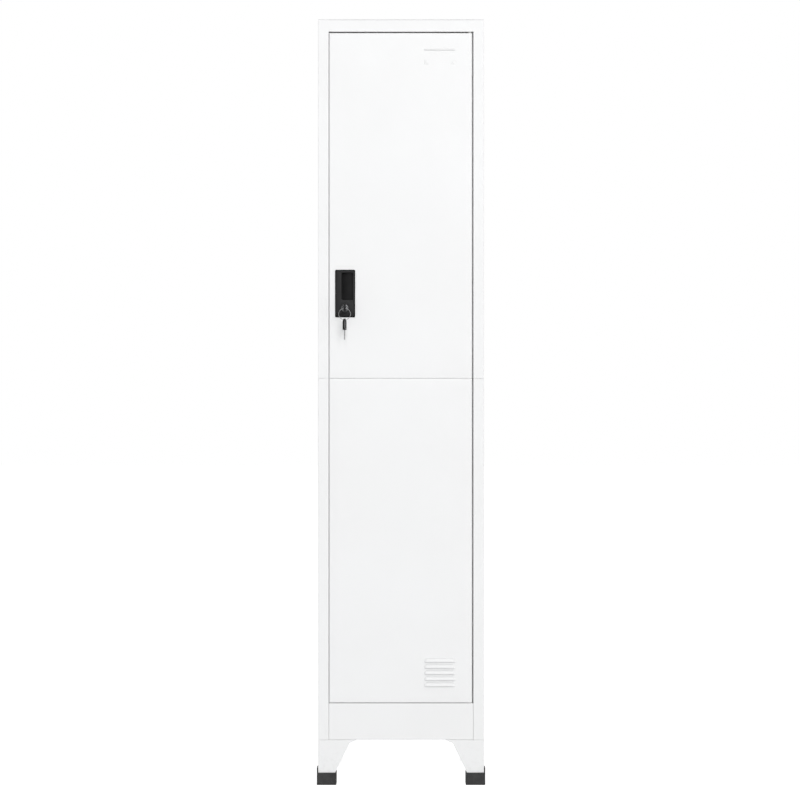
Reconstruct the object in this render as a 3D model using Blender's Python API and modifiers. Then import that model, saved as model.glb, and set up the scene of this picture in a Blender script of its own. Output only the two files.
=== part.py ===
"""Tall single-door steel locker cabinet on four sheet-metal legs, with its lock, keys, shelf and hanging rod.

Metres, +Z up. The front faces -Y. The origin is at the middle of the bounding box's base.
"""

import math

import bmesh
import bpy
from mathutils import Matrix, Vector

# Overall size
WIDTH = 0.390
DEPTH = 0.450
HEIGHT = 1.800
LEG_HEIGHT = 0.106
SEAM_HEIGHT = 0.956

# Sheet metal
SHEET = 0.0008
LEG_SHEET = 0.0012
PLATE = 0.0015
FOLD_RADIUS = 0.0012
FIT = 0.0003
SEAM_GAP = 0.0004

# Front frame
POST_WIDTH = 0.025
STOP_LIP = 0.012
STOP_CLEARANCE = 0.0023
REAR_RETURN = 0.020
TOP_RAIL_HEIGHT = 0.029
KICK_HEIGHT = 0.086
BASE_FLANGE = 0.025
PANEL_FLANGE = 0.020
LID_FLANGE = 0.015

# Door
DOOR_THICK = 0.018
DOOR_RETURN = 0.012
LATCH_GAP = 0.0012
HINGE_GAP = 0.0034
DOOR_TOP_GAP = 0.0032
DOOR_BOTTOM_GAP = 0.0014
HINGE_INSET = 0.005
PIN_RADIUS = 0.002
PIN_LENGTH = 0.017
BUSH_WALL = 0.0007
BUSH_FLANGE = 0.0015
BUSH_COLLAR = 0.0007
PIN_COLLAR = 0.0020
BUSH_LENGTH = 0.004

# Pressed features of the door
LOUVRE_COUNT = 5
LOUVRE_PITCH = 0.0142
LOUVRE_LENGTH = 0.073
LOUVRE_HEIGHT = 0.009
LOUVRE_STAND = 0.0040
LOUVRE_END = 0.007
LOWEST_LOUVRE = 0.0387
VENT_CENTRE_INSET = 0.0725
LABEL_WIDTH = 0.073
LABEL_HEIGHT = 0.031
LABEL_DROP = 0.0403
LABEL_LIP = 0.0035
LABEL_STAND = 0.0014
LABEL_CORNER = 0.009

# Lock housing and its finger pocket
HOUSING_WIDTH = 0.047
HOUSING_HEIGHT = 0.1115
HOUSING_EDGE = 0.0138
HOUSING_BASE = 0.1435
HOUSING_PROUD = 0.003
HOUSING_DEPTH = 0.016
HOUSING_RIM = 0.003
HOUSING_END_RIM = 0.0052
HOUSING_CORNER = 0.0025
POCKET_WIDTH = 0.026
POCKET_HEIGHT = 0.064
POCKET_TOP_INSET = 0.0070
POCKET_LEFT_INSET = 0.0155
POCKET_DEEP = 0.013
POCKET_SHALLOW = 0.004
HOUSING_GROOVE = 0.0010
HOUSING_GROOVE_HEIGHTS = (0.0023, 0.0071)
RETAINER_RIM = 0.006

# Lock barrel, plug and cam
LOCK_RISE = 0.0215
LOCK_OFFSET = -0.0007
BARREL_RADIUS = 0.0075
BARREL_FLANGE = 0.0010
BARREL_PROUD = 0.002
BARREL_LENGTH = 0.0215
PLUG_RADIUS = 0.0052
PLUG_STUD_RADIUS = 0.003
CAM_THICK = 0.002
CAM_WIDTH = 0.013
CAM_END_RADIUS = CAM_WIDTH / 2 - 0.0001
CAM_TIP_RADIUS = CAM_WIDTH / 3
CAM_REACH = 0.036
CAM_CLEARANCE = 0.0014
CAM_NUT_HEIGHT = 0.003
CAM_NUT_RADIUS = PLUG_STUD_RADIUS + 0.0027
BARREL_NUT_HEIGHT = 0.003
BARREL_NUT_RADIUS = BARREL_RADIUS + 0.0045

# Keys and ring
BOW_LENGTH = 0.027
BOW_WIDTH = 0.020
BOW_SHOULDER_RADIUS = BOW_WIDTH / 6
BOW_END_RADIUS = BOW_WIDTH / 2 - 0.0003
BOW_EDGE_RADIUS = 0.0008
BOW_THICK = 0.004
BOW_HOLE_RADIUS = 0.0025
BOW_HOLE_INSET = 0.0045
BOW_COLLAR_LENGTH = 0.003
BOW_COLLAR_THICK = 0.0056
BLADE_LENGTH = 0.023
BLADE_WIDTH = 0.0065
BLADE_THICK = 0.0012
BLADE_SEAT = 0.005
BLADE_NOTCHES = (0.0012, 0.0020, 0.0008, 0.0016)
KEY_GAP = 0.001
RING_RADIUS = 0.01375
WIRE_RADIUS = 0.0008
RING_PLAY = 0.0005
SPARE_TURN = math.radians(16)

# Legs and foot caps
LEG_TOP_WIDTH = 0.090
LEG_NECK_WIDTH = 0.074
LEG_NECK_DROP = 0.008
LEG_FOOT_WIDTH = 0.040
CAP_HEIGHT = 0.029
CAP_FLOOR = 0.004
CAP_PROUD = 0.003
CAP_REACH = 0.043
CAP_WALL_HEIGHT = 0.040
CAP_EDGE = 0.0012
CAP_RIB_WIDTH = 0.0016
CAP_RIB_DEPTH = 0.0010
CAP_RIB_INSETS = (0.006, 0.011, 0.016)
BOLT_EDGE = 0.014
BOLT_STEPS = (0.038, 0.068)

# Interior
HAT_SPACE = 0.300
SHELF_PLAY = 0.0005
CLIP_HEIGHT = 0.014
CLIP_LENGTH = 0.030
CLIP_INSET = 0.060
ROD_DROP = 0.060
ROD_RADIUS = 0.008
ROD_WALL = 0.0012
SOCKET_BASE = 0.002
SOCKET_BASE_RADIUS = 0.015
SOCKET_WALL = 0.002
SOCKET_LENGTH = 0.012
SPLICE_HEIGHT = 0.040
SPLICE_INSET = 0.030

# Fasteners: across the flats, head height, shank radius, shank length
LEG_BOLT = (0.010, 0.004, 0.003, 0.010)
JOINT_BOLT = (0.008, 0.0035, 0.0025, 0.009)
HOUSING_SCREW = (0.0040, 0.0018, 0.0011, 0.0045)
JOINT_BOLT_SPACING = 0.110

# Facets
ROUND = 24
SMALL_ROUND = 16

# Finishes: colour, roughness, metallic
WHITE_POWDER = ((0.88, 0.88, 0.88), 0.45, 0.0)
BLACK_PLASTIC = ((0.030, 0.030, 0.032), 0.5, 0.0)
BRIGHT_STEEL = ((0.62, 0.62, 0.63), 0.3, 1.0)
ZINC_STEEL = ((0.55, 0.56, 0.58), 0.4, 1.0)
WHITE_NYLON = ((0.80, 0.80, 0.78), 0.5, 0.0)

# The body's planes. The key bow in front and the caps behind share the depth of the bounding box.
BARREL_FACE = HOUSING_PROUD + BARREL_PROUD
HOLE_REACH = BARREL_FACE + KEY_GAP + BOW_LENGTH - BOW_HOLE_INSET
SPARE_HALF_DEPTH = BOW_WIDTH / 2 * math.cos(SPARE_TURN) + BOW_COLLAR_THICK / 2 * math.sin(SPARE_TURN)
KEY_REACH = HOLE_REACH + SPARE_HALF_DEPTH
FRONT = (KEY_REACH - CAP_PROUD - DEPTH) / 2
BACK = FRONT + DEPTH
SIDE = WIDTH / 2
OPENING = SIDE - POST_WIDTH
INNER_SIDE = SIDE - SHEET - FIT
KICK_TOP = LEG_HEIGHT + KICK_HEIGHT
LID_BOTTOM = HEIGHT - SHEET
RAIL_BOTTOM = HEIGHT - TOP_RAIL_HEIGHT
JAMB_DEPTH = DOOR_THICK + STOP_CLEARANCE + SHEET
RAIL_DEPTH = JAMB_DEPTH - 2 * SHEET
STOP_REAR = FRONT + JAMB_DEPTH
SHELF_HEIGHT = HEIGHT - HAT_SPACE
BACK_INNER = BACK - SHEET - FIT
RETURN_FRONT = BACK_INNER - SHEET

# The door's edges and its hinge axis
DOOR_LEFT = LATCH_GAP - OPENING
DOOR_RIGHT = OPENING - HINGE_GAP
DOOR_BOTTOM = KICK_TOP + DOOR_BOTTOM_GAP
DOOR_TOP = RAIL_BOTTOM - DOOR_TOP_GAP
HINGE_X = DOOR_RIGHT - HINGE_INSET
HINGE_Y = FRONT + HINGE_INSET
VENT_X = DOOR_RIGHT - VENT_CENTRE_INSET - HINGE_GAP

# The lock's place
HOUSING_LEFT = DOOR_LEFT + HOUSING_EDGE
HOUSING_X = HOUSING_LEFT + HOUSING_WIDTH / 2
HOUSING_BOTTOM = SEAM_HEIGHT + HOUSING_BASE
HOUSING_Z = HOUSING_BOTTOM + HOUSING_HEIGHT / 2
LOCK_X = HOUSING_X + LOCK_OFFSET
LOCK_Z = HOUSING_BOTTOM + LOCK_RISE
BORE_RADIUS = BARREL_RADIUS + FIT
CAM_FRONT = STOP_REAR + CAM_CLEARANCE
RING_Y = FRONT - HOLE_REACH
RING_TOP = LOCK_Z - (BOW_HOLE_RADIUS - WIRE_RADIUS - RING_PLAY)
RING_BOTTOM = RING_TOP - 2 * RING_RADIUS
SPARE_HOLE_Z = RING_BOTTOM - (BOW_HOLE_RADIUS - WIRE_RADIUS - RING_PLAY)

X_AXIS = Vector((1, 0, 0))
Y_AXIS = Vector((0, 1, 0))
Z_AXIS = Vector((0, 0, 1))


def clear_scene():
    for obj in list(bpy.data.objects):
        bpy.data.objects.remove(obj, do_unlink=True)


def new_collection(name):
    made = bpy.data.collections.new(name)
    bpy.context.scene.collection.children.link(made)
    return made


clear_scene()
PARTS = new_collection("locker_cabinet")
CUTTERS = new_collection("locker_cabinet_cutters")


# Small tools


def coating(name, finish):
    colour, roughness, metallic = finish
    made = bpy.data.materials.new(name + "_finish")
    made.use_nodes = True
    shader = made.node_tree.nodes["Principled BSDF"]
    shader.inputs["Base Color"].default_value = (*colour, 1)
    shader.inputs["Roughness"].default_value = roughness
    shader.inputs["Metallic"].default_value = metallic
    return made


def to_mesh(name, bm):
    mesh = bpy.data.meshes.new(name)
    bm.to_mesh(mesh)
    bm.free()
    return mesh


def add_part(name, mesh, finish):
    obj = bpy.data.objects.new(name, mesh)
    if not mesh.materials:
        mesh.materials.append(coating(name, finish))
    PARTS.objects.link(obj)
    return obj


def add_cutter(name, mesh):
    obj = bpy.data.objects.new(name, mesh)
    obj.hide_render = True
    obj.display_type = "WIRE"
    CUTTERS.objects.link(obj)
    return obj


def shade_round(mesh):
    mesh.shade_smooth()
    mesh.set_sharp_from_angle(angle=math.radians(35))


def box(bm, low, high):
    low = Vector(low)
    high = Vector(high)
    verts = bmesh.ops.create_cube(bm, size=1)["verts"]
    bmesh.ops.scale(bm, vec=high - low, verts=verts)
    bmesh.ops.translate(bm, vec=(low + high) / 2, verts=verts)
    return verts


def box_mesh(name, low, high):
    bm = bmesh.new()
    box(bm, low, high)
    return to_mesh(name, bm)


def mirrored_box(sign, low, high):
    """The box's corners with X turned over when sign is -1."""
    if sign > 0:
        return low, high
    return (-high[0], low[1], low[2]), (-low[0], high[1], high[2])


def cylinder(bm, centre, radius, length, axis=Z_AXIS, segments=SMALL_ROUND):
    turn = Z_AXIS.rotation_difference(axis).to_matrix().to_4x4()
    bmesh.ops.create_cone(
        bm,
        cap_ends=True,
        segments=segments,
        radius1=radius,
        radius2=radius,
        depth=length,
        matrix=Matrix.Translation(centre) @ turn,
    )


def holes(name, centres, radius, length, axis=Z_AXIS, segments=SMALL_ROUND):
    bm = bmesh.new()
    for centre in centres:
        cylinder(bm, centre, radius, length, axis, segments)
    return add_cutter(name, to_mesh(name, bm))


def boolean(obj, other, operation="DIFFERENCE"):
    made = obj.modifiers.new(other.name, "BOOLEAN")
    made.operation = operation
    made.solver = "EXACT"
    made.object = other


def thicken(obj, sheet=SHEET):
    made = obj.modifiers.new("sheet", "SOLIDIFY")
    made.thickness = sheet
    made.offset = -1
    made.use_even_offset = True


def round_edges(obj, width, segments=2):
    made = obj.modifiers.new("edges", "BEVEL")
    made.width = width
    made.segments = segments
    made.limit_method = "ANGLE"
    made.angle_limit = math.radians(40)


def settled(obj):
    """Turns the object's modifiers into plain mesh, for a piece that is copied."""
    graph = bpy.context.evaluated_depsgraph_get()
    mesh = bpy.data.meshes.new_from_object(obj.evaluated_get(graph))
    obj.modifiers.clear()
    obj.data = mesh
    return mesh


def tray(name, finish, low, high, open_side, lip=0.0):
    """A folded sheet box, open on one side, with an optional return along that side."""
    bm = bmesh.new()
    box(bm, low, high)
    bm.normal_update()
    side = max(bm.faces, key=lambda face: face.normal.dot(Vector(open_side)))
    if lip:
        bmesh.ops.inset_region(bm, faces=[side], thickness=lip, use_even_offset=True)
    bmesh.ops.delete(bm, geom=[side], context="FACES")
    obj = add_part(name, to_mesh(name, bm), finish)
    round_edges(obj, FOLD_RADIUS)
    thicken(obj)
    return obj


def folded_corner(bm, low, high, kept):
    """Keeps only the faces of a box that look along the kept directions."""
    box(bm, low, high)
    bm.normal_update()
    gone = [face for face in bm.faces if not any(face.normal.dot(Vector(way)) > 0.9 for way in kept)]
    bmesh.ops.delete(bm, geom=gone, context="FACES")


def turned(name, profile, finish, closed=True, steps=ROUND):
    """A turned piece about its own Z axis. The profile's outer side runs from top to bottom."""
    bm = bmesh.new()
    verts = [bm.verts.new((radius, 0, height)) for radius, height in profile]
    pairs = list(zip(verts, verts[1:]))
    if closed:
        pairs.append((verts[-1], verts[0]))
    for pair in pairs:
        bm.edges.new(pair)
    obj = add_part(name, to_mesh(name, bm), finish)
    screw = obj.modifiers.new("turn", "SCREW")
    screw.steps = steps
    screw.render_steps = steps
    screw.use_merge_vertices = True
    screw.merge_threshold = 0.00001
    return obj


def outline_mesh(name, points, thickness):
    """A flat plate of this outline, centred on its own XY plane and welded."""
    curve = bpy.data.curves.new(name, "CURVE")
    curve.dimensions = "2D"
    curve.fill_mode = "BOTH"
    curve.extrude = thickness / 2
    spline = curve.splines.new("POLY")
    spline.points.add(len(points) - 1)
    for target, (x, y) in zip(spline.points, points):
        target.co = (x, y, 0, 1)
    spline.use_cyclic_u = True
    drawn = bpy.data.objects.new(name + "_outline", curve)
    PARTS.objects.link(drawn)
    graph = bpy.context.evaluated_depsgraph_get()
    mesh = bpy.data.meshes.new_from_object(drawn.evaluated_get(graph))
    bpy.data.objects.remove(drawn, do_unlink=True)
    bm = bmesh.new()
    bm.from_mesh(mesh)
    bmesh.ops.remove_doubles(bm, verts=bm.verts, dist=0.00001)
    bmesh.ops.recalc_face_normals(bm, faces=bm.faces)
    bm.to_mesh(mesh)
    bm.free()
    return mesh


def arc(centre, radius, start, end, steps):
    """Points along an arc, with the angles in degrees."""
    found = []
    for step in range(steps + 1):
        angle = math.radians(start + (end - start) * step / steps)
        found.append((centre[0] + radius * math.cos(angle), centre[1] + radius * math.sin(angle)))
    return found


def rounded_rectangle(low, high, left_radius, right_radius, steps=4):
    """An anticlockwise outline whose two left and two right corners have their own radii."""
    points = arc((low[0] + left_radius, low[1] + left_radius), left_radius, 180, 270, steps)
    points += arc((high[0] - right_radius, low[1] + right_radius), right_radius, 270, 360, steps)
    points += arc((high[0] - right_radius, high[1] - right_radius), right_radius, 0, 90, steps)
    points += arc((low[0] + left_radius, high[1] - left_radius), left_radius, 90, 180, steps)
    return points


def frame_matrix(origin, first, second):
    """A placement whose own X and Y run along two given directions."""
    first = Vector(first)
    second = Vector(second)
    third = first.cross(second)
    turn = Matrix((first, second, third)).transposed().to_4x4()
    return Matrix.Translation(origin) @ turn


def pivot(name, place):
    obj = bpy.data.objects.new(name, None)
    obj.location = place
    obj.empty_display_size = 0.02
    PARTS.objects.link(obj)
    return obj


def hang_on(parent, pieces):
    bpy.context.view_layer.update()
    for piece in pieces:
        piece.parent = parent
        piece.matrix_parent_inverse = parent.matrix_world.inverted()


# Carcass


def side_panel(name, sign, low, high):
    """One half of a side: stop lip, jamb, front post, side web and rear return, folded from one sheet."""
    profile = [
        (OPENING - STOP_LIP, STOP_REAR - SHEET),
        (OPENING, STOP_REAR - SHEET),
        (OPENING, FRONT),
        (SIDE, FRONT),
        (SIDE, BACK_INNER),
        (SIDE - REAR_RETURN, BACK_INNER),
    ]
    bm = bmesh.new()
    verts = [bm.verts.new((sign * x, y, low)) for x, y in profile]
    edges = [bm.edges.new(pair) for pair in zip(verts, verts[1:])]
    made = bmesh.ops.extrude_edge_only(bm, edges=edges)["geom"]
    upper = [item for item in made if isinstance(item, bmesh.types.BMVert)]
    bmesh.ops.translate(bm, vec=(0, 0, high - low), verts=upper)
    bm.normal_update()
    web = max(bm.faces, key=lambda face: face.calc_area())
    if web.normal.x * sign < 0:
        bmesh.ops.reverse_faces(bm, faces=bm.faces)
    obj = add_part(name, to_mesh(name, bm), WHITE_POWDER)
    round_edges(obj, FOLD_RADIUS)
    thicken(obj)
    return obj


def bolt_places(sign, front):
    """Centres of one leg's two bolts, in plan."""
    places = []
    for step in BOLT_STEPS:
        y = FRONT + step if front else BACK - step
        places.append((sign * (SIDE - BOLT_EDGE), y))
    return places


def side_panels():
    for side, sign in (("left", -1), ("right", 1)):
        side_panel(f"side_panel_{side}_upper", sign, SEAM_HEIGHT + SEAM_GAP / 2, LID_BOTTOM - FIT)
        lower = side_panel(f"side_panel_{side}_lower", sign, LEG_HEIGHT, SEAM_HEIGHT - SEAM_GAP / 2)
        low, high = mirrored_box(
            sign,
            (SIDE - BASE_FLANGE, FRONT + SPLICE_INSET, LEG_HEIGHT),
            (SIDE - SHEET / 2, BACK - SPLICE_INSET, LEG_HEIGHT + SHEET),
        )
        flange = add_cutter(f"base_flange_{side}", box_mesh(f"base_flange_{side}", low, high))
        boolean(lower, flange, "UNION")
        centres = [(x, y, LEG_HEIGHT) for front in (True, False) for x, y in bolt_places(sign, front)]
        boolean(lower, holes(f"base_holes_{side}", centres, LEG_BOLT[2] + FIT, PANEL_FLANGE))


def back_panels():
    halves = (
        ("back_panel_upper", SEAM_HEIGHT + SEAM_GAP / 2, LID_BOTTOM - FIT),
        ("back_panel_lower", LEG_HEIGHT, SEAM_HEIGHT - SEAM_GAP / 2),
    )
    for name, low, high in halves:
        mesh = box_mesh(name, (-SIDE, BACK - SHEET, low), (SIDE, BACK, high))
        add_part(name, mesh, WHITE_POWDER)


def splice_plates():
    low_z = SEAM_HEIGHT - SPLICE_HEIGHT / 2
    high_z = SEAM_HEIGHT + SPLICE_HEIGHT / 2
    for side, sign in (("left", -1), ("right", 1)):
        low, high = mirrored_box(
            sign,
            (INNER_SIDE - PLATE, FRONT + SPLICE_INSET, low_z),
            (INNER_SIDE, RETURN_FRONT - FIT, high_z),
        )
        name = f"splice_plate_{side}"
        add_part(name, box_mesh(name, low, high), WHITE_POWDER)
    reach = SIDE - REAR_RETURN - FIT
    low_corner = (-reach, BACK_INNER - PLATE, low_z)
    rear = box_mesh("splice_plate_back", low_corner, (reach, BACK_INNER, high_z))
    add_part("splice_plate_back", rear, WHITE_POWDER)


def top_panel():
    """A lid over the whole plan, with flanges that drop inside the side and back panels."""
    obj = tray(
        "top_panel",
        WHITE_POWDER,
        (-INNER_SIDE, STOP_REAR + 2 * FIT, LID_BOTTOM - LID_FLANGE),
        (INNER_SIDE, RETURN_FRONT - FIT, HEIGHT - SHEET / 2),
        (0, 0, -1),
    )
    sheet = box_mesh("lid_sheet", (-SIDE, FRONT, LID_BOTTOM), (SIDE, BACK, HEIGHT))
    lid = add_cutter("lid_sheet", sheet)
    boolean(obj, lid, "UNION")


def front_rails():
    reach = OPENING - FIT
    rails = (
        ("top_rail", RAIL_BOTTOM, LID_BOTTOM - FIT, RAIL_BOTTOM),
        ("kick_rail", LEG_HEIGHT, KICK_TOP, KICK_TOP),
    )
    for name, low, high, hinge_face in rails:
        far_corner = (reach, FRONT + RAIL_DEPTH, high)
        rail = tray(name, WHITE_POWDER, (-reach, FRONT, low), far_corner, (0, 1, 0))
        centre = (HINGE_X, HINGE_Y, hinge_face)
        radius = PIN_RADIUS + FIT + BUSH_WALL + FIT
        boolean(rail, holes(name + "_hinge_hole", [centre], radius, 4 * SHEET))


def bottom_panel():
    tray(
        "bottom_panel",
        WHITE_POWDER,
        (-INNER_SIDE, STOP_REAR + FIT, KICK_TOP - PANEL_FLANGE),
        (INNER_SIDE, RETURN_FRONT - FIT, KICK_TOP),
        (0, 0, -1),
    )


# Interior


def shelf_and_clips():
    reach = INNER_SIDE - SHELF_PLAY
    low = SHELF_HEIGHT - PANEL_FLANGE
    tray(
        "hat_shelf",
        WHITE_POWDER,
        (-reach, STOP_REAR + SHELF_PLAY, low),
        (reach, RETURN_FRONT - SHELF_PLAY, SHELF_HEIGHT),
        (0, 0, -1),
    )
    rows = (("front", FRONT + CLIP_INSET), ("rear", BACK - CLIP_INSET - CLIP_LENGTH))
    for side, sign in (("left", -1), ("right", 1)):
        for row, start in rows:
            name = f"shelf_clip_{row}_{side}"
            corners = mirrored_box(
                sign,
                (INNER_SIDE - CLIP_HEIGHT, start, low - FIT - CLIP_HEIGHT),
                (INNER_SIDE, start + CLIP_LENGTH, low - FIT),
            )
            bm = bmesh.new()
            folded_corner(bm, *corners, ((0, 0, 1), (sign, 0, 0)))
            clip = add_part(name, to_mesh(name, bm), ZINC_STEEL)
            thicken(clip, PLATE)


def hanging_rod():
    height = SHELF_HEIGHT - ROD_DROP
    middle = (FRONT + BACK) / 2
    reach = INNER_SIDE - SOCKET_BASE - FIT
    tube = turned(
        "hanging_rod",
        [
            (ROD_RADIUS - ROD_WALL, reach),
            (ROD_RADIUS, reach),
            (ROD_RADIUS, -reach),
            (ROD_RADIUS - ROD_WALL, -reach),
        ],
        BRIGHT_STEEL,
    )
    tube.matrix_world = frame_matrix((0, middle, height), -Z_AXIS, Y_AXIS)
    bore = ROD_RADIUS + FIT
    for side, sign in (("left", -1), ("right", 1)):
        socket = turned(
            f"rod_socket_{side}",
            [
                (0, SOCKET_BASE),
                (bore, SOCKET_BASE),
                (bore, SOCKET_LENGTH),
                (bore + SOCKET_WALL, SOCKET_LENGTH),
                (bore + SOCKET_WALL, SOCKET_BASE),
                (SOCKET_BASE_RADIUS, SOCKET_BASE),
                (SOCKET_BASE_RADIUS, 0),
                (0, 0),
            ],
            ZINC_STEEL,
            closed=False,
        )
        place = (sign * INNER_SIDE, middle, height)
        socket.matrix_world = frame_matrix(place, sign * Z_AXIS, Y_AXIS)


# Fasteners


def hex_bolt_mesh(name, size):
    """A hexagon-headed bolt whose head stands on its own +Z side and whose shank points down."""
    flats, head, shank_radius, shank = size
    bm = bmesh.new()
    cylinder(bm, (0, 0, head / 2), flats / 2 / math.cos(math.pi / 6), head, segments=6)
    body = add_part(name + "_pattern", to_mesh(name, bm), ZINC_STEEL)
    bm = bmesh.new()
    cylinder(bm, (0, 0, (head / 2 - shank) / 2), shank_radius, shank + head / 2, segments=12)
    stem = add_cutter(name + "_shank", to_mesh(name + "_shank", bm))
    boolean(body, stem, "UNION")
    mesh = settled(body)
    bpy.data.objects.remove(body, do_unlink=True)
    bpy.data.objects.remove(stem, do_unlink=True)
    mesh.name = name
    return mesh


def leg_bolts():
    mesh = hex_bolt_mesh("leg_bolt", LEG_BOLT)
    seat = LEG_HEIGHT - FIT - LEG_SHEET - FIT
    for side, sign in (("left", -1), ("right", 1)):
        for row, front in (("front", True), ("rear", False)):
            for number, (x, y) in enumerate(bolt_places(sign, front), 1):
                bolt = add_part(f"leg_bolt_{row}_{side}_{number}", mesh, ZINC_STEEL)
                bolt.location = (x, y, seat)
                bolt.rotation_euler = (math.pi, 0, 0)


# Legs and foot caps


def leg_frame(sign, front):
    """Own X runs inwards along the front or back, own Y runs inwards along the side; the origin is the corner."""
    corner = (sign * SIDE, FRONT if front else BACK, 0)
    return corner, Vector((-sign, 0, 0)), Vector((0, 1 if front else -1, 0))


def leg_and_cap(name_end, sign, front):
    corner, across, inward = leg_frame(sign, front)

    def place(u, v, z):
        point = Vector(corner) + u * across + v * inward
        return (point.x, point.y, z)

    def span(low, high):
        first = place(*low)
        last = place(*high)
        ordered = [sorted(pair) for pair in zip(first, last)]
        return [pair[0] for pair in ordered], [pair[1] for pair in ordered]

    top = LEG_HEIGHT - FIT
    low, high = span((0, 0, CAP_FLOOR), (LEG_TOP_WIDTH, LEG_TOP_WIDTH, top))
    bm = bmesh.new()
    folded_corner(bm, low, high, (-across, -inward, Z_AXIS))
    for height in (CAP_HEIGHT, top - LEG_NECK_DROP):
        geom = list(bm.verts) + list(bm.edges) + list(bm.faces)
        bmesh.ops.bisect_plane(bm, geom=geom, plane_co=(0, 0, height), plane_no=Z_AXIS)
    for vert in bm.verts:
        away = vert.co - Vector(corner)
        if vert.co.z > top - LEG_NECK_DROP / 2:
            continue
        width = LEG_NECK_WIDTH if vert.co.z > CAP_HEIGHT + LEG_NECK_DROP else LEG_FOOT_WIDTH
        for way in (across, inward):
            if away.dot(way) > LEG_TOP_WIDTH / 2:
                vert.co -= (LEG_TOP_WIDTH - width) * way
    leg = add_part(f"leg_{name_end}", to_mesh(f"leg_{name_end}", bm), WHITE_POWDER)
    round_edges(leg, FOLD_RADIUS)
    thicken(leg, LEG_SHEET)
    centres = [(x, y, LEG_HEIGHT) for x, y in bolt_places(sign, front)]
    boolean(leg, holes(f"leg_holes_{name_end}", centres, LEG_BOLT[2] + FIT, PANEL_FLANGE))

    cap_name = f"foot_cap_{name_end}"
    low, high = span((-CAP_PROUD, -CAP_PROUD, 0), (CAP_REACH, CAP_REACH, CAP_HEIGHT))
    cap = add_part(cap_name, box_mesh(cap_name, low, high), BLACK_PLASTIC)
    round_edges(cap, CAP_EDGE)
    wall = CAP_PROUD - FIT
    wall_top = (-CAP_PROUD + wall, CAP_REACH - wall, CAP_WALL_HEIGHT)
    low, high = span((-CAP_PROUD, 0, CAP_HEIGHT / 2), wall_top)
    ear = add_cutter(f"cap_wall_{name_end}", box_mesh(f"cap_wall_{name_end}", low, high))
    boolean(cap, ear, "UNION")
    groove = LEG_SHEET + FIT
    reach = LEG_FOOT_WIDTH + FIT
    bottom = CAP_FLOOR - FIT
    above = CAP_WALL_HEIGHT + FIT
    bm = bmesh.new()
    box(bm, *span((-FIT, -FIT, bottom), (reach, groove, above)))
    first = add_cutter(f"cap_groove_{name_end}", to_mesh(f"cap_groove_{name_end}", bm))
    bm = bmesh.new()
    box(bm, *span((-FIT, 0, bottom), (groove, reach, above)))
    second = add_cutter(f"cap_side_groove_{name_end}", to_mesh(f"cap_side_groove_{name_end}", bm))
    boolean(cap, first)
    boolean(cap, second)
    bm = bmesh.new()
    for inset in CAP_RIB_INSETS:
        start = CAP_REACH - inset
        groove_low = (start, -CAP_PROUD - FIT, CAP_RIB_DEPTH)
        cut_front = (groove_low, (start + CAP_RIB_WIDTH, CAP_RIB_DEPTH - CAP_PROUD, above))
        box(bm, *span(*cut_front))
    ribs = add_cutter(f"cap_ribs_{name_end}", to_mesh(f"cap_ribs_{name_end}", bm))
    boolean(cap, ribs)


def legs_and_caps():
    for side, sign in (("left", -1), ("right", 1)):
        for row, front in (("front", True), ("rear", False)):
            leg_and_cap(f"{row}_{side}", sign, front)


# Door


def louvre_hood(bm, base):
    """A pressed hood, open below, with its back edge sunk in the middle of the door sheet."""
    made = bmesh.ops.create_uvsphere(bm, u_segments=16, v_segments=7, radius=1)["verts"]
    bmesh.ops.rotate(bm, verts=made, matrix=Matrix.Rotation(math.pi / 2, 3, "Y"))
    bmesh.ops.scale(bm, verts=made, vec=(LOUVRE_END, LOUVRE_STAND, LOUVRE_HEIGHT))
    straight = LOUVRE_LENGTH / 2 - LOUVRE_END
    for vert in made:
        vert.co.x += math.copysign(straight, vert.co.x)
    for normal in (-Y_AXIS, Z_AXIS):
        alive = [vert for vert in made if vert.is_valid]
        geom = list({item for vert in alive for item in (vert, *vert.link_edges, *vert.link_faces)})
        bmesh.ops.bisect_plane(bm, geom=geom, plane_no=normal, clear_inner=True, dist=0.0000001)
        made = [vert for vert in bm.verts if vert.is_valid]
    bmesh.ops.translate(bm, verts=bm.verts, vec=base)


def lower_door_louvres(door):
    for number in range(LOUVRE_COUNT):
        bottom = DOOR_BOTTOM + LOWEST_LOUVRE + number * LOUVRE_PITCH
        bm = bmesh.new()
        half = LOUVRE_LENGTH / 2 - LOUVRE_END / 2
        box(
            bm,
            (VENT_X - half, FRONT - SHEET, bottom + SHEET),
            (VENT_X + half, FRONT + 2 * SHEET, bottom + LOUVRE_HEIGHT - 2 * SHEET),
        )
        slot = add_cutter(f"louvre_slot_{number + 1}", to_mesh(f"louvre_slot_{number + 1}", bm))
        boolean(door, slot)
        bm = bmesh.new()
        louvre_hood(bm, (VENT_X, FRONT + SHEET / 2, bottom))
        hood = add_cutter(f"louvre_hood_{number + 1}", to_mesh(f"louvre_hood_{number + 1}", bm))
        thicken(hood)
        boolean(door, hood, "UNION")


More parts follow.
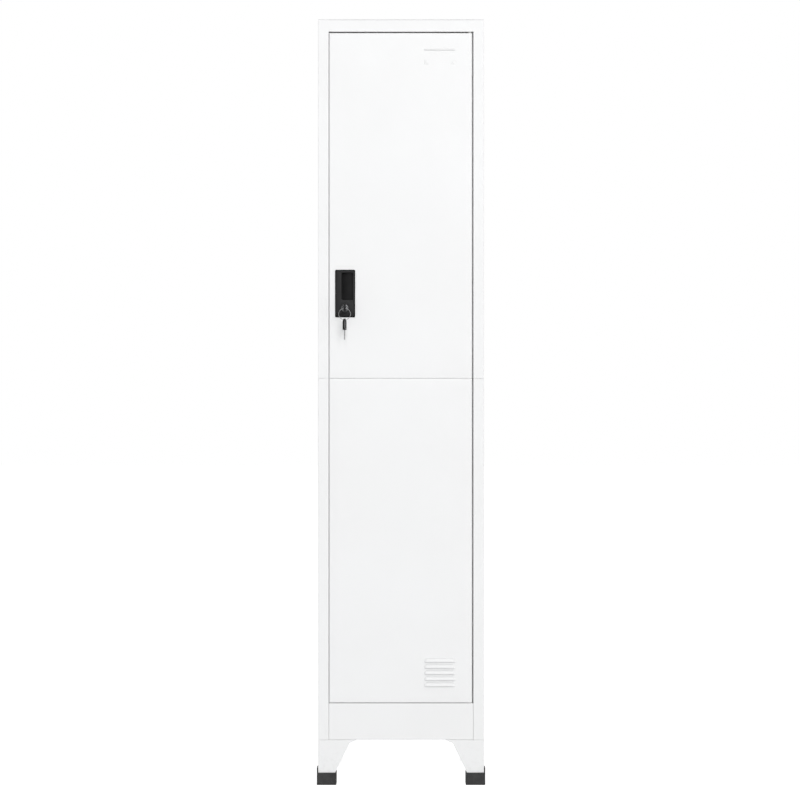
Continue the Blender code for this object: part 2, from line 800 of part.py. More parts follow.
def upper_door_label(door):
    """A pressed card holder: one long lip above and a small triangular tab at each lower corner."""
    top = DOOR_TOP - LABEL_DROP
    rear = FRONT + SHEET / 2
    left = VENT_X - LABEL_WIDTH / 2
    right = VENT_X + LABEL_WIDTH / 2
    bm = bmesh.new()
    box(bm, (left, FRONT - LABEL_STAND, top - LABEL_LIP), (right, rear, top))
    lip = add_cutter("label_lip", to_mesh("label_lip", bm))
    round_edges(lip, LABEL_STAND / 2)
    boolean(door, lip, "UNION")
    for side, corner, way in (("left", left, 1), ("right", right, -1)):
        points = [(0, 0), (LABEL_CORNER, 0), (0, LABEL_CORNER)]
        mesh = outline_mesh(f"label_corner_{side}", points, LABEL_STAND + SHEET / 2)
        middle = (FRONT - LABEL_STAND + rear) / 2
        tab = add_cutter(f"label_corner_{side}", mesh)
        along = Vector((way, 0, 0))
        tab.matrix_world = frame_matrix((corner, middle, top - LABEL_HEIGHT), along, Z_AXIS)
        if way < 0:
            tab.matrix_world = frame_matrix((corner, middle, top - LABEL_HEIGHT), Z_AXIS, along)
        round_edges(tab, LABEL_STAND / 3, 1)
        boolean(door, tab, "UNION")


def joint_bolt_places():
    middle = (DOOR_LEFT + DOOR_RIGHT) / 2
    return [(middle + step * JOINT_BOLT_SPACING, FRONT + DOOR_THICK / 2) for step in (-1, 0, 1)]


def door_halves():
    upper = tray(
        "door_upper",
        WHITE_POWDER,
        (DOOR_LEFT, FRONT, SEAM_HEIGHT + SEAM_GAP / 2),
        (DOOR_RIGHT, FRONT + DOOR_THICK, DOOR_TOP),
        (0, 1, 0),
        DOOR_RETURN,
    )
    lower = tray(
        "door_lower",
        WHITE_POWDER,
        (DOOR_LEFT, FRONT, DOOR_BOTTOM),
        (DOOR_RIGHT, FRONT + DOOR_THICK, SEAM_HEIGHT - SEAM_GAP / 2),
        (0, 1, 0),
        DOOR_RETURN,
    )
    for door, edge in ((upper, DOOR_TOP), (lower, DOOR_BOTTOM)):
        centre = (HINGE_X, HINGE_Y, edge)
        boolean(door, holes(door.name + "_pin_hole", [centre], PIN_RADIUS + FIT, 4 * SHEET))
        centres = [(x, y, SEAM_HEIGHT) for x, y in joint_bolt_places()]
        boolean(door, holes(door.name + "_joint_holes", centres, JOINT_BOLT[2] + FIT, 6 * SHEET))
    window = box_mesh(
        "housing_window",
        (HOUSING_LEFT + HOUSING_RIM - FIT, FRONT - SHEET, HOUSING_BOTTOM + HOUSING_END_RIM - FIT),
        (
            HOUSING_LEFT + HOUSING_WIDTH - HOUSING_RIM + FIT,
            FRONT + 2 * SHEET,
            HOUSING_BOTTOM + HOUSING_HEIGHT - HOUSING_END_RIM + FIT,
        ),
    )
    boolean(upper, add_cutter("housing_window", window))
    boolean(upper, housing_screw_holes("door_screw_holes", 8 * SHEET))
    upper_door_label(upper)
    lower_door_louvres(lower)
    return [upper, lower]


def door_joint_bolts():
    mesh = hex_bolt_mesh("door_joint_bolt", JOINT_BOLT)
    made = []
    for number, (x, y) in enumerate(joint_bolt_places(), 1):
        bolt = add_part(f"door_joint_bolt_{number}", mesh, ZINC_STEEL)
        bolt.location = (x, y, SEAM_HEIGHT + SEAM_GAP / 2 + SHEET + FIT)
        made.append(bolt)
    return made


def hinge_pins():
    """Each pin has a collar inside the door and passes out through the door's flange and the rail's bush."""
    collar_radius = HINGE_INSET - SHEET - 2 * FIT
    made = []
    for end, edge, way in (("top", DOOR_TOP, 1), ("bottom", DOOR_BOTTOM, -1)):
        pin = turned(
            f"hinge_pin_{end}",
            [
                (0, PIN_LENGTH),
                (PIN_RADIUS, PIN_LENGTH),
                (PIN_RADIUS, PIN_COLLAR + PIN_LENGTH / 2),
                (collar_radius, PIN_COLLAR + PIN_LENGTH / 2),
                (collar_radius, PIN_LENGTH / 2),
                (PIN_RADIUS, PIN_LENGTH / 2),
                (PIN_RADIUS, 0),
                (0, 0),
            ],
            BRIGHT_STEEL,
            closed=False,
            steps=SMALL_ROUND,
        )
        start = edge - way * (SHEET + FIT + PIN_COLLAR + PIN_LENGTH / 2)
        pin.matrix_world = frame_matrix((HINGE_X, HINGE_Y, start), X_AXIS, way * Y_AXIS)
        made.append(pin)
    return made


def hinge_bushes():
    bore = PIN_RADIUS + FIT
    sleeve = bore + BUSH_WALL
    for end, face, way in (("top", RAIL_BOTTOM, 1), ("bottom", KICK_TOP, -1)):
        bush = turned(
            f"hinge_bush_{end}",
            [
                (bore, BUSH_LENGTH),
                (sleeve, BUSH_LENGTH),
                (sleeve, 0),
                (sleeve + BUSH_FLANGE, 0),
                (sleeve + BUSH_FLANGE, -BUSH_COLLAR),
                (bore, -BUSH_COLLAR),
            ],
            WHITE_NYLON,
            steps=SMALL_ROUND,
        )
        bush.matrix_world = frame_matrix((HINGE_X, HINGE_Y, face - way * FIT), X_AXIS, way * Y_AXIS)


# Lock


def lock_housing():
    """A black moulding: a thin rim on the door face and a deep body behind it, with a slanting finger pocket."""
    right = HOUSING_LEFT + HOUSING_WIDTH
    top = HOUSING_BOTTOM + HOUSING_HEIGHT
    thickness = HOUSING_PROUD - FIT
    outline = rounded_rectangle(
        (-HOUSING_WIDTH / 2, -HOUSING_HEIGHT / 2),
        (HOUSING_WIDTH / 2, HOUSING_HEIGHT / 2),
        HOUSING_CORNER,
        HOUSING_CORNER,
        3,
    )
    mesh = outline_mesh("lock_housing", outline, thickness)
    middle = (HOUSING_X, FRONT - FIT - thickness / 2, HOUSING_Z)
    mesh.transform(frame_matrix(middle, X_AXIS, Z_AXIS))
    housing = add_part("lock_housing", mesh, BLACK_PLASTIC)
    round_edges(housing, HOUSING_PROUD / 4)
    body = box_mesh(
        "housing_body",
        (HOUSING_LEFT + HOUSING_RIM, FRONT - HOUSING_PROUD / 2, HOUSING_BOTTOM + HOUSING_END_RIM),
        (right - HOUSING_RIM, FRONT + HOUSING_DEPTH, top - HOUSING_END_RIM),
    )
    boolean(housing, add_cutter("housing_body", body), "UNION")
    left = HOUSING_LEFT + POCKET_LEFT_INSET
    bm = bmesh.new()
    verts = box(
        bm,
        (left, FRONT - 2 * HOUSING_PROUD, top - POCKET_TOP_INSET - POCKET_HEIGHT),
        (left + POCKET_WIDTH, FRONT + POCKET_DEEP, top - POCKET_TOP_INSET),
    )
    for vert in verts:
        if vert.co.y > FRONT and vert.co.x > left + POCKET_WIDTH / 2:
            vert.co.y = FRONT + POCKET_SHALLOW
    pocket = add_cutter("finger_pocket", to_mesh("finger_pocket", bm))
    round_edges(pocket, HOUSING_CORNER)
    boolean(housing, pocket)
    bore = holes(
        "barrel_bore",
        [(LOCK_X, FRONT, LOCK_Z)],
        BORE_RADIUS,
        4 * HOUSING_DEPTH,
        Y_AXIS,
        ROUND,
    )
    boolean(housing, bore)
    bm = bmesh.new()
    for height in HOUSING_GROOVE_HEIGHTS:
        start = HOUSING_BOTTOM + height
        box(
            bm,
            (HOUSING_LEFT - FIT, FRONT - 2 * HOUSING_PROUD, start),
            (right + FIT, FRONT - HOUSING_PROUD + HOUSING_GROOVE, start + HOUSING_GROOVE),
        )
    boolean(housing, add_cutter("housing_grooves", to_mesh("housing_grooves", bm)))
    boolean(housing, housing_screw_holes("screw_pilots", 2 * (HOUSING_PROUD - SHEET)))
    return housing


def housing_screw_heights():
    """The two screws stand in the housing's rim, above and below its body."""
    rim = HOUSING_END_RIM / 2
    return (("lower", HOUSING_BOTTOM + rim), ("upper", HOUSING_BOTTOM + HOUSING_HEIGHT - rim))


def housing_screw_holes(name, length):
    centres = [(HOUSING_X, FRONT, z) for _, z in housing_screw_heights()]
    return holes(name, centres, HOUSING_SCREW[2] + FIT, length, Y_AXIS)


def lock_retainer():
    """A steel frame behind the door sheet, clamped to the housing's rim by the two screws."""
    grip = HOUSING_RIM - FIT
    end_grip = HOUSING_END_RIM - FIT
    right = HOUSING_LEFT + HOUSING_WIDTH - grip
    top = HOUSING_BOTTOM + HOUSING_HEIGHT - end_grip
    left = HOUSING_LEFT + grip
    bottom = HOUSING_BOTTOM + end_grip
    rear = FRONT + SHEET + FIT
    outer = box_mesh(
        "lock_retainer",
        (left - RETAINER_RIM, rear, bottom - RETAINER_RIM),
        (right + RETAINER_RIM, rear + PLATE, top + RETAINER_RIM),
    )
    plate = add_part("lock_retainer", outer, ZINC_STEEL)
    window = box_mesh("retainer_window", (left, rear - PLATE, bottom), (right, rear + 2 * PLATE, top))
    boolean(plate, add_cutter("retainer_window", window))
    boolean(plate, housing_screw_holes("retainer_screw_holes", 8 * PLATE))
    return plate


def lock_barrel():
    face = FRONT - BARREL_FACE
    collar = FRONT - HOUSING_PROUD - FIT
    rear = FRONT + BARREL_LENGTH
    bore = PLUG_RADIUS + FIT
    barrel = turned(
        "lock_barrel",
        [
            (bore, -face),
            (BARREL_RADIUS + BARREL_FLANGE, -face),
            (BARREL_RADIUS + BARREL_FLANGE, -collar),
            (BARREL_RADIUS, -collar),
            (BARREL_RADIUS, -rear),
            (bore, -rear),
        ],
        BRIGHT_STEEL,
    )
    barrel.matrix_world = frame_matrix((LOCK_X, 0, LOCK_Z), X_AXIS, Z_AXIS)
    bm = bmesh.new()
    nut_front = FRONT + HOUSING_DEPTH + FIT
    centre = (LOCK_X, nut_front + BARREL_NUT_HEIGHT / 2, LOCK_Z)
    cylinder(bm, centre, BARREL_NUT_RADIUS, BARREL_NUT_HEIGHT, Y_AXIS, 6)
    nut = add_part("barrel_nut", to_mesh("barrel_nut", bm), ZINC_STEEL)
    boolean(nut, holes("barrel_nut_bore", [centre], BORE_RADIUS, 4 * BARREL_NUT_HEIGHT, Y_AXIS, ROUND))
    return [barrel, nut]


def lock_plug():
    """The turning plug, its cam and the cam's nut, all on the lock's axis."""
    face = FRONT - BARREL_FACE
    shoulder = CAM_FRONT - FIT
    end = CAM_FRONT + CAM_THICK + FIT + CAM_NUT_HEIGHT + SHEET
    plug = turned(
        "lock_plug",
        [
            (0, -face),
            (PLUG_RADIUS, -face),
            (PLUG_RADIUS, -shoulder),
            (PLUG_STUD_RADIUS, -shoulder),
            (PLUG_STUD_RADIUS, -end),
            (0, -end),
        ],
        BRIGHT_STEEL,
        closed=False,
    )
    plug.matrix_world = frame_matrix((LOCK_X, 0, LOCK_Z), X_AXIS, Z_AXIS)
    half_thick = BLADE_THICK / 2 + FIT
    half_wide = BLADE_WIDTH / 2 + FIT
    mouth = face - KEY_GAP
    keyway = box_mesh(
        "keyway",
        (LOCK_X - half_thick, mouth, LOCK_Z - half_wide),
        (LOCK_X + half_thick, mouth + BLADE_LENGTH + FIT, LOCK_Z + half_wide),
    )
    boolean(plug, add_cutter("keyway", keyway))

    outline = rounded_rectangle(
        (-CAM_WIDTH / 2, -CAM_WIDTH / 2),
        (CAM_REACH, CAM_WIDTH / 2),
        CAM_END_RADIUS,
        CAM_TIP_RADIUS,
    )
    mesh = outline_mesh("lock_cam", outline, CAM_THICK)
    mesh.transform(frame_matrix((LOCK_X, CAM_FRONT + CAM_THICK / 2, LOCK_Z), -Z_AXIS, X_AXIS))
    cam = add_part("lock_cam", mesh, ZINC_STEEL)
    stud_hole = PLUG_STUD_RADIUS + FIT
    centre = (LOCK_X, CAM_FRONT, LOCK_Z)
    boolean(cam, holes("cam_hole", [centre], stud_hole, 4 * CAM_THICK, Y_AXIS, ROUND))

    nut_front = CAM_FRONT + CAM_THICK + FIT
    centre = (LOCK_X, nut_front + CAM_NUT_HEIGHT / 2, LOCK_Z)
    bm = bmesh.new()
    cylinder(bm, centre, CAM_NUT_RADIUS, CAM_NUT_HEIGHT, Y_AXIS, 6)
    nut = add_part("cam_nut", to_mesh("cam_nut", bm), ZINC_STEEL)
    boolean(nut, holes("cam_nut_bore", [centre], stud_hole, 4 * CAM_NUT_HEIGHT, Y_AXIS, ROUND))
    return [plug, cam, nut]


def housing_screws():
    mesh = hex_bolt_mesh("housing_screw", HOUSING_SCREW)
    made = []
    for end, z in housing_screw_heights():
        screw = add_part(f"housing_screw_{end}", mesh, ZINC_STEEL)
        seat = FRONT + SHEET + FIT + PLATE + FIT
        screw.matrix_world = frame_matrix((HOUSING_X, seat, z), X_AXIS, -Z_AXIS)
        made.append(screw)
    return made


# Keys


def blade_outline():
    """A pointed blade whose lower edge carries a row of notches."""
    half = BLADE_WIDTH / 2
    pitch = BLADE_LENGTH / (len(BLADE_NOTCHES) + 2)
    tip = half - BLADE_LENGTH
    points = [(BLADE_SEAT, half), (tip, half), (-BLADE_LENGTH, 0), (tip, -half)]
    for number, depth in reversed(list(enumerate(BLADE_NOTCHES, 1))):
        centre = -number * pitch
        points += [(centre - pitch / 3, -half), (centre, depth - half), (centre + pitch / 3, -half)]
    points.append((BLADE_SEAT, -half))
    return points


def key(prefix, origin, along, across):
    """One key: a steel blade seated in a black plastic bow. Own X runs from the blade towards the bow's end."""
    place = frame_matrix(origin, along, across)
    mesh = outline_mesh(prefix + "_blade", blade_outline(), BLADE_THICK)
    mesh.transform(place)
    blade = add_part(prefix + "_blade", mesh, BRIGHT_STEEL)
    outline = rounded_rectangle(
        (0, -BOW_WIDTH / 2),
        (BOW_LENGTH, BOW_WIDTH / 2),
        BOW_SHOULDER_RADIUS,
        BOW_END_RADIUS,
    )
    mesh = outline_mesh(prefix + "_bow", outline, BOW_THICK)
    bow = add_part(prefix + "_bow", mesh, BLACK_PLASTIC)
    round_edges(bow, BOW_EDGE_RADIUS)
    half = BOW_WIDTH / 2 - BOW_SHOULDER_RADIUS
    collar = box_mesh(
        prefix + "_collar",
        (FIT, -half, -BOW_COLLAR_THICK / 2),
        (BOW_COLLAR_LENGTH, half, BOW_COLLAR_THICK / 2),
    )
    boolean(bow, add_cutter(prefix + "_collar", collar), "UNION")
    seat = box_mesh(
        prefix + "_seat",
        (-BLADE_SEAT, -BLADE_WIDTH / 2 - FIT, -BLADE_THICK / 2 - FIT),
        (BLADE_SEAT + FIT, BLADE_WIDTH / 2 + FIT, BLADE_THICK / 2 + FIT),
    )
    boolean(bow, add_cutter(prefix + "_seat", seat))
    centre = (BOW_LENGTH - BOW_HOLE_INSET, 0, 0)
    hole = holes(prefix + "_ring_hole", [centre], BOW_HOLE_RADIUS, 4 * BOW_THICK)
    boolean(bow, hole)
    mesh = settled(bow)
    mesh.transform(place)
    return [blade, bow]


def key_ring():
    bpy.ops.mesh.primitive_torus_add(
        major_segments=28,
        minor_segments=8,
        major_radius=RING_RADIUS,
        minor_radius=WIRE_RADIUS,
        location=(LOCK_X, RING_Y, RING_TOP - RING_RADIUS),
        rotation=(math.pi / 2, 0, 0),
    )
    ring = bpy.context.object
    ring.name = "key_ring"
    ring.data.name = "key_ring"
    for owner in list(ring.users_collection):
        owner.objects.unlink(ring)
    PARTS.objects.link(ring)
    ring.data.materials.append(coating("key_ring", BRIGHT_STEEL))
    return ring


def build_cabinet():
    side_panels()
    back_panels()
    splice_plates()
    top_panel()
    front_rails()
    bottom_panel()
    shelf_and_clips()
    hanging_rod()
    hinge_bushes()
    legs_and_caps()
    leg_bolts()


def build_door():
    pieces = door_halves()
    pieces += door_joint_bolts()
    pieces += hinge_pins()
    pieces += [lock_housing(), lock_retainer()]
    pieces += housing_screws()
    pieces += lock_barrel()
    hang_on(pivot("door_hinge_axis", (HINGE_X, HINGE_Y, SEAM_HEIGHT)), pieces)


def build_lock_and_keys():
    pieces = lock_plug()
    shoulder = (LOCK_X, FRONT - BARREL_FACE - KEY_GAP, LOCK_Z)
    pieces += key("key", shoulder, -Y_AXIS, Z_AXIS)
    hang_on(pivot("lock_axis", (LOCK_X, FRONT, LOCK_Z)), pieces)
    hang_on(pivot("ring_axis", (LOCK_X, RING_Y, RING_TOP)), [key_ring()])
    shoulder = (LOCK_X, RING_Y, SPARE_HOLE_Z + BOW_HOLE_INSET - BOW_LENGTH)
    across = Vector((math.sin(SPARE_TURN), -math.cos(SPARE_TURN), 0))
    spare = key("spare_key", shoulder, Z_AXIS, across)
    hang_on(pivot("spare_key_axis", (LOCK_X, RING_Y, RING_BOTTOM)), spare)


build_cabinet()
build_door()
build_lock_and_keys()
for piece in PARTS.objects:
    if piece.type == "MESH":
        shade_round(piece.data)
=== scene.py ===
"""Steel locker cabinet: finishes, fine pressed parts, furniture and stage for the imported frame."""

import math

import bmesh
import bpy
from mathutils import Matrix, Vector


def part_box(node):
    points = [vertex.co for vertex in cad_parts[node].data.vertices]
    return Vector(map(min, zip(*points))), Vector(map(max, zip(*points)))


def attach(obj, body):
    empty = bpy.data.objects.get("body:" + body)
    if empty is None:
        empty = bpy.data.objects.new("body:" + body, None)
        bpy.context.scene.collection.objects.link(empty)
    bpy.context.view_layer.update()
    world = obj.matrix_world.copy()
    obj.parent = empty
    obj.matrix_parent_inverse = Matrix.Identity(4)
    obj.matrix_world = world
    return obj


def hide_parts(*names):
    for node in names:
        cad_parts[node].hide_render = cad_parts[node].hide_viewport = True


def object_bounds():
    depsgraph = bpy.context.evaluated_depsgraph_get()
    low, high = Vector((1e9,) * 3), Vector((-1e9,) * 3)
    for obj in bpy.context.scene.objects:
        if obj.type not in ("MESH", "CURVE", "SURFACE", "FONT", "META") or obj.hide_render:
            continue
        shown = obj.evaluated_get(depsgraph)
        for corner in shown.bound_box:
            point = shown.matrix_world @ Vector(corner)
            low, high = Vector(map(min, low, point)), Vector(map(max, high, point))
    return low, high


bl_info = {
    "name": "Locker Cabinet",
    "version": (1, 0, 0),
    "blender": (4, 5, 0),
    "location": "3D View > Sidebar > Locker",
    "description": "Builds the doors, lock, keys, fittings and finishes of a steel locker cabinet",
    "category": "Object",
}

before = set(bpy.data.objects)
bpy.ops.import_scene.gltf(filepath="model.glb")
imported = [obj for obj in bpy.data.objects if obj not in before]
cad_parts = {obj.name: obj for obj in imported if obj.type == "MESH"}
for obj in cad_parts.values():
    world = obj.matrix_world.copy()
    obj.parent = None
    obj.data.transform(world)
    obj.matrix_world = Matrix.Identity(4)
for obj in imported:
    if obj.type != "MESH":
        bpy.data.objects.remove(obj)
CAD_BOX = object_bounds()

X_AXIS = Vector((1, 0, 0))
Y_AXIS = Vector((0, 1, 0))
Z_AXIS = Vector((0, 0, 1))

# Planes and centres read from the frame
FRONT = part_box("top_rail")[0].y
UPPER_LOW, UPPER_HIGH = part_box("door_upper")
LOWER_LOW, LOWER_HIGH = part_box("door_lower")
HOUSING_LOW, HOUSING_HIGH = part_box("lock_housing")
BARREL_LOW, BARREL_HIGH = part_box("lock_barrel")
LOCK_X = (BARREL_LOW.x + BARREL_HIGH.x) / 2
LOCK_Z = (BARREL_LOW.z + BARREL_HIGH.z) / 2
RING_LOW, RING_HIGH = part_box("key_ring")

# Clearance between pieces that touch
FIT = 0.0003

# Sizes that the frame's housing, keys and cam nut have: the grooves' heights above the
# housing's lower end, the bow's half sizes and hole, and the spare key's turn in degrees
GROOVE_HEIGHTS = (0.0023, 0.0071)
BOW_LENGTH = 0.027
BOW_HALF_WIDTH = 0.010
BOW_HALF_THICKNESS = 0.002
BOW_HOLE_RADIUS = 0.0025
BOW_HOLE_INSET = 0.0045
SPARE_KEY_TURN = 16
CAM_NUT_BORE = 0.0033

# Width over flats, head height, shank radius and shank length
LEG_BOLT = (0.010, 0.004, 0.003, 0.010)
JOINT_BOLT = (0.008, 0.0035, 0.0025, 0.009)
HOUSING_SCREW = (0.0040, 0.0018, 0.0011, 0.0045)

# The door's grid: its widest steps, the flat strip round a hood, and the lip's closed ends
ROW_STEP = 0.02
HOOD_MARGIN = 0.0010
LIP_END = 0.0025
HOOD_SHARES = [0.0, 0.12, 0.26, 0.40, 0.54, 0.68, 0.80, 0.90, 0.97, 1.0]
LIP_SHARES = [0.0, 0.3, 0.6, 0.8, 0.92, 1.0]

# Radius and height of points on a blind rivet's head, from the mandrel's dimple outwards
RIVET_PROFILE = [
    (0, 0.0006),
    (0.0006, 0.00062),
    (0.0008, 0.00105),
    (0.0016, 0.0010),
    (0.0026, 0.0007),
    (0.0032, 0.0003),
    (0.0033, 0.0),
    (0, -0.0002),
]

SHEET_NODES = {
    "carcass": [
        "side_panel_left_lower",
        "side_panel_left_upper",
        "side_panel_right_lower",
        "side_panel_right_upper",
        "back_panel_lower",
        "back_panel_upper",
        "top_panel",
        "top_rail",
        "kick_rail",
        "bottom_panel",
    ],
    "legs": ["leg_front_left", "leg_front_right", "leg_rear_left", "leg_rear_right"],
    "plates": ["splice_plate_left", "splice_plate_right", "splice_plate_back"],
    "shelf": ["hat_shelf"],
}
CAP_NODES = [
    "foot_cap_front_left",
    "foot_cap_front_right",
    "foot_cap_rear_left",
    "foot_cap_rear_right",
]
CLIP_NODES = [
    "shelf_clip_front_left",
    "shelf_clip_front_right",
    "shelf_clip_rear_left",
    "shelf_clip_rear_right",
]


# Settings


class LockerPaint(bpy.types.PropertyGroup):
    """The white powder coat and the folded edges that it covers."""

    colour: bpy.props.FloatVectorProperty(
        name="Coat colour",
        description="Base colour of the powder coat",
        subtype="COLOR",
        size=3,
        min=0,
        max=1,
        default=(0.86, 0.865, 0.87),
    )
    shade: bpy.props.FloatVectorProperty(
        name="Thin coat colour",
        description="Colour where the coat is thinner or a little soiled",
        subtype="COLOR",
        size=3,
        min=0,
        max=1,
        default=(0.80, 0.80, 0.795),
    )
    roughness: bpy.props.FloatProperty(
        name="Roughness",
        description="Middle roughness of the coat",
        subtype="FACTOR",
        min=0,
        max=1,
        default=0.42,
    )
    grain_size: bpy.props.FloatProperty(
        name="Grain size",
        description="Width of one grain of the coat's orange peel",
        unit="LENGTH",
        default=0.0011,
    )
    edge: bpy.props.FloatProperty(
        name="Cut edge",
        description="Rounding that the coat leaves on a cut edge",
        unit="LENGTH",
        default=0.00022,
    )


class LockerDoor(bpy.types.PropertyGroup):
    """The folded door halves and the shapes pressed into them."""

    sheet: bpy.props.FloatProperty(
        name="Sheet",
        description="Thickness of the door sheet",
        unit="LENGTH",
        default=0.0008,
    )
    fold: bpy.props.FloatProperty(
        name="Fold radius",
        description="Outside radius of each fold",
        unit="LENGTH",
        default=0.0012,
    )
    returns: bpy.props.FloatProperty(
        name="Return",
        description="Width of the flange turned in behind the door",
        unit="LENGTH",
        default=0.012,
    )
    thickness: bpy.props.FloatProperty(
        name="Thickness",
        description="Depth of the folded door",
        unit="LENGTH",
        default=0.018,
    )
    press_inset: bpy.props.FloatProperty(
        name="Vent inset",
        description="From the hinge edge to the middle of the louvres and of the card holder",
        unit="LENGTH",
        default=0.0759,
    )
    louvre_count: bpy.props.IntProperty(
        name="Louvres", description="Number of louvres", min=1, max=12, default=5
    )
    louvre_pitch: bpy.props.FloatProperty(
        name="Louvre pitch",
        description="From one louvre to the next",
        unit="LENGTH",
        default=0.0142,
    )
    louvre_length: bpy.props.FloatProperty(
        name="Louvre length",
        description="Length of a louvre over its ends",
        unit="LENGTH",
        default=0.073,
    )
    louvre_height: bpy.props.FloatProperty(
        name="Louvre height",
        description="Height of one hood",
        unit="LENGTH",
        default=0.009,
    )
    louvre_stand: bpy.props.FloatProperty(
        name="Louvre stand",
        description="How far a hood stands from the door",
        unit="LENGTH",
        default=0.0037,
    )
    louvre_end: bpy.props.FloatProperty(
        name="Louvre end",
        description="Length of the rounded end of a hood",
        unit="LENGTH",
        default=0.007,
    )
    lowest_louvre: bpy.props.FloatProperty(
        name="Lowest louvre",
        description="From the door's lower edge to the lowest mouth",
        unit="LENGTH",
        default=0.0387,
    )
    card_width: bpy.props.FloatProperty(
        name="Card width",
        description="Width of the card holder",
        unit="LENGTH",
        default=0.073,
    )
    card_height: bpy.props.FloatProperty(
        name="Card height",
        description="Height of the card holder",
        unit="LENGTH",
        default=0.0375,
    )
    card_drop: bpy.props.FloatProperty(
        name="Card drop",
        description="From the door's top edge to the card holder",
        unit="LENGTH",
        default=0.0363,
    )
    card_lip: bpy.props.FloatProperty(
        name="Card lip",
        description="Height of the card holder's upper lip",
        unit="LENGTH",
        default=0.0035,
    )
    card_slot: bpy.props.FloatProperty(
        name="Card slot",
        description="Open height of the slot below the lip",
        unit="LENGTH",
        default=0.0006,
    )
    card_stand: bpy.props.FloatProperty(
        name="Card stand",
        description="How far the lip and the tabs stand from the door",
        unit="LENGTH",
        default=0.0014,
    )
    card_corner: bpy.props.FloatProperty(
        name="Card corner",
        description="Leg of each triangular corner tab",
        unit="LENGTH",
        default=0.012,
    )


class LockerLock(bpy.types.PropertyGroup):
    """The moulded lock housing with its finger pocket, and the cylinder in it."""

    proud: bpy.props.FloatProperty(
        name="Proud",
        description="How far the housing stands from the door",
        unit="LENGTH",
        default=0.003,
    )
    depth: bpy.props.FloatProperty(
        name="Depth",
        description="Depth of the housing behind the door face",
        unit="LENGTH",
        default=0.016,
    )
    side_rim: bpy.props.FloatProperty(
        name="Side rim",
        description="Rim that covers the window at each side",
        unit="LENGTH",
        default=0.003,
    )
    end_rim: bpy.props.FloatProperty(
        name="End rim",
        description="Rim that covers the window above and below",
        unit="LENGTH",
        default=0.0052,
    )
    corner: bpy.props.FloatProperty(
        name="Corner",
        description="Radius of the housing's corners",
        unit="LENGTH",
        default=0.0025,
    )
    edge: bpy.props.FloatProperty(
        name="Edge",
        description="Rounding of the moulded edges",
        unit="LENGTH",
        default=0.0006,
    )
    rim: bpy.props.FloatProperty(
        name="Rim",
        description="Width of the lower rim round the housing's face",
        unit="LENGTH",
        default=0.0022,
    )
    step: bpy.props.FloatProperty(
        name="Step",
        description="Drop from the housing's face to its rim",
        unit="LENGTH",
        default=0.0011,
    )
    pocket_left: bpy.props.FloatProperty(
        name="Pocket inset",
        description="From the housing's left side to the finger pocket",
        unit="LENGTH",
        default=0.0155,
    )
    pocket_top: bpy.props.FloatProperty(
        name="Pocket drop",
        description="From the housing's top to the finger pocket",
        unit="LENGTH",
        default=0.0070,
    )
    pocket_width: bpy.props.FloatProperty(
        name="Pocket width",
        description="Width of the finger pocket",
        unit="LENGTH",
        default=0.026,
    )
    pocket_height: bpy.props.FloatProperty(
        name="Pocket height",
        description="Height of the finger pocket",
        unit="LENGTH",
        default=0.064,
    )
    pocket_deep: bpy.props.FloatProperty(
        name="Pocket depth",
        description="Depth of the pocket at its left side",
        unit="LENGTH",
        default=0.013,
    )
    pocket_shallow: bpy.props.FloatProperty(
        name="Pocket shallow side",
        description="Depth of the pocket at its right side",
        unit="LENGTH",
        default=0.004,
    )
    bore: bpy.props.FloatProperty(
        name="Bore",
        description="Radius of the hole for the lock cylinder",
        unit="LENGTH",
        default=0.0078,
    )
    groove: bpy.props.FloatProperty(
        name="Groove",
        description="Width and depth of the two grooves below the lock",
        unit="LENGTH",
        default=0.0010,
    )


class LockerKeys(bpy.types.PropertyGroup):
    """The two keys and the split ring."""

    recess: bpy.props.FloatProperty(
        name="Bow recess",
        description="Depth of the sunk grip on each side of a bow",
        unit="LENGTH",
        default=0.0006,
    )
    wire: bpy.props.FloatProperty(
        name="Wire",
        description="Radius of the split ring's wire",
        unit="LENGTH",
        default=0.00055,
    )
    turns: bpy.props.FloatProperty(
        name="Turns",
        description="Turns of wire in the split ring",
        min=1,
        max=3,
        default=1.9,
    )


class LockerStage(bpy.types.PropertyGroup):
    """Camera, floor and lights."""

    lens: bpy.props.FloatProperty(
        name="Lens", description="Focal length in millimetres", default=120
    )
    distance: bpy.props.FloatProperty(
        name="Distance",
        description="From the camera to the locker's front",
        unit="LENGTH",
        default=6.27,
    )
    aside: bpy.props.FloatProperty(
        name="Aside",
        description="How far the camera stands to the right",
        unit="LENGTH",
        default=-0.0025,
    )
    eye: bpy.props.FloatProperty(
        name="Eye height",
        description="Height of the camera",
        unit="LENGTH",
        default=0.905,
    )
    ambient: bpy.props.FloatProperty(
        name="Room light",
        description="Strength of the even light from the white room",
        default=0.40,
    )
    key: bpy.props.FloatProperty(
        name="Front light",
        description="Power of the large light in front, in watts",
        default=535,
    )
    side: bpy.props.FloatProperty(
        name="Side light",
        description="Power of the light at the right, in watts",
        default=10,
    )
    top: bpy.props.FloatProperty(
        name="Top light",
        description="Power of the light overhead, in watts",
        default=10,
    )
    floor_size: bpy.props.FloatProperty(
        name="Floor",
        description="Width of the floor",
        unit="LENGTH",
        default=60.0,
    )
    floor_glow: bpy.props.FloatProperty(
        name="Floor glow",
        description="Light that the pale floor adds to what falls on it, where it is seen",
        default=0.80,
    )
    floor_bounce: bpy.props.FloatProperty(
        name="Floor bounce",
        description="The same light, as it reaches the locker",
        default=0.34,
    )


# Building with nodes


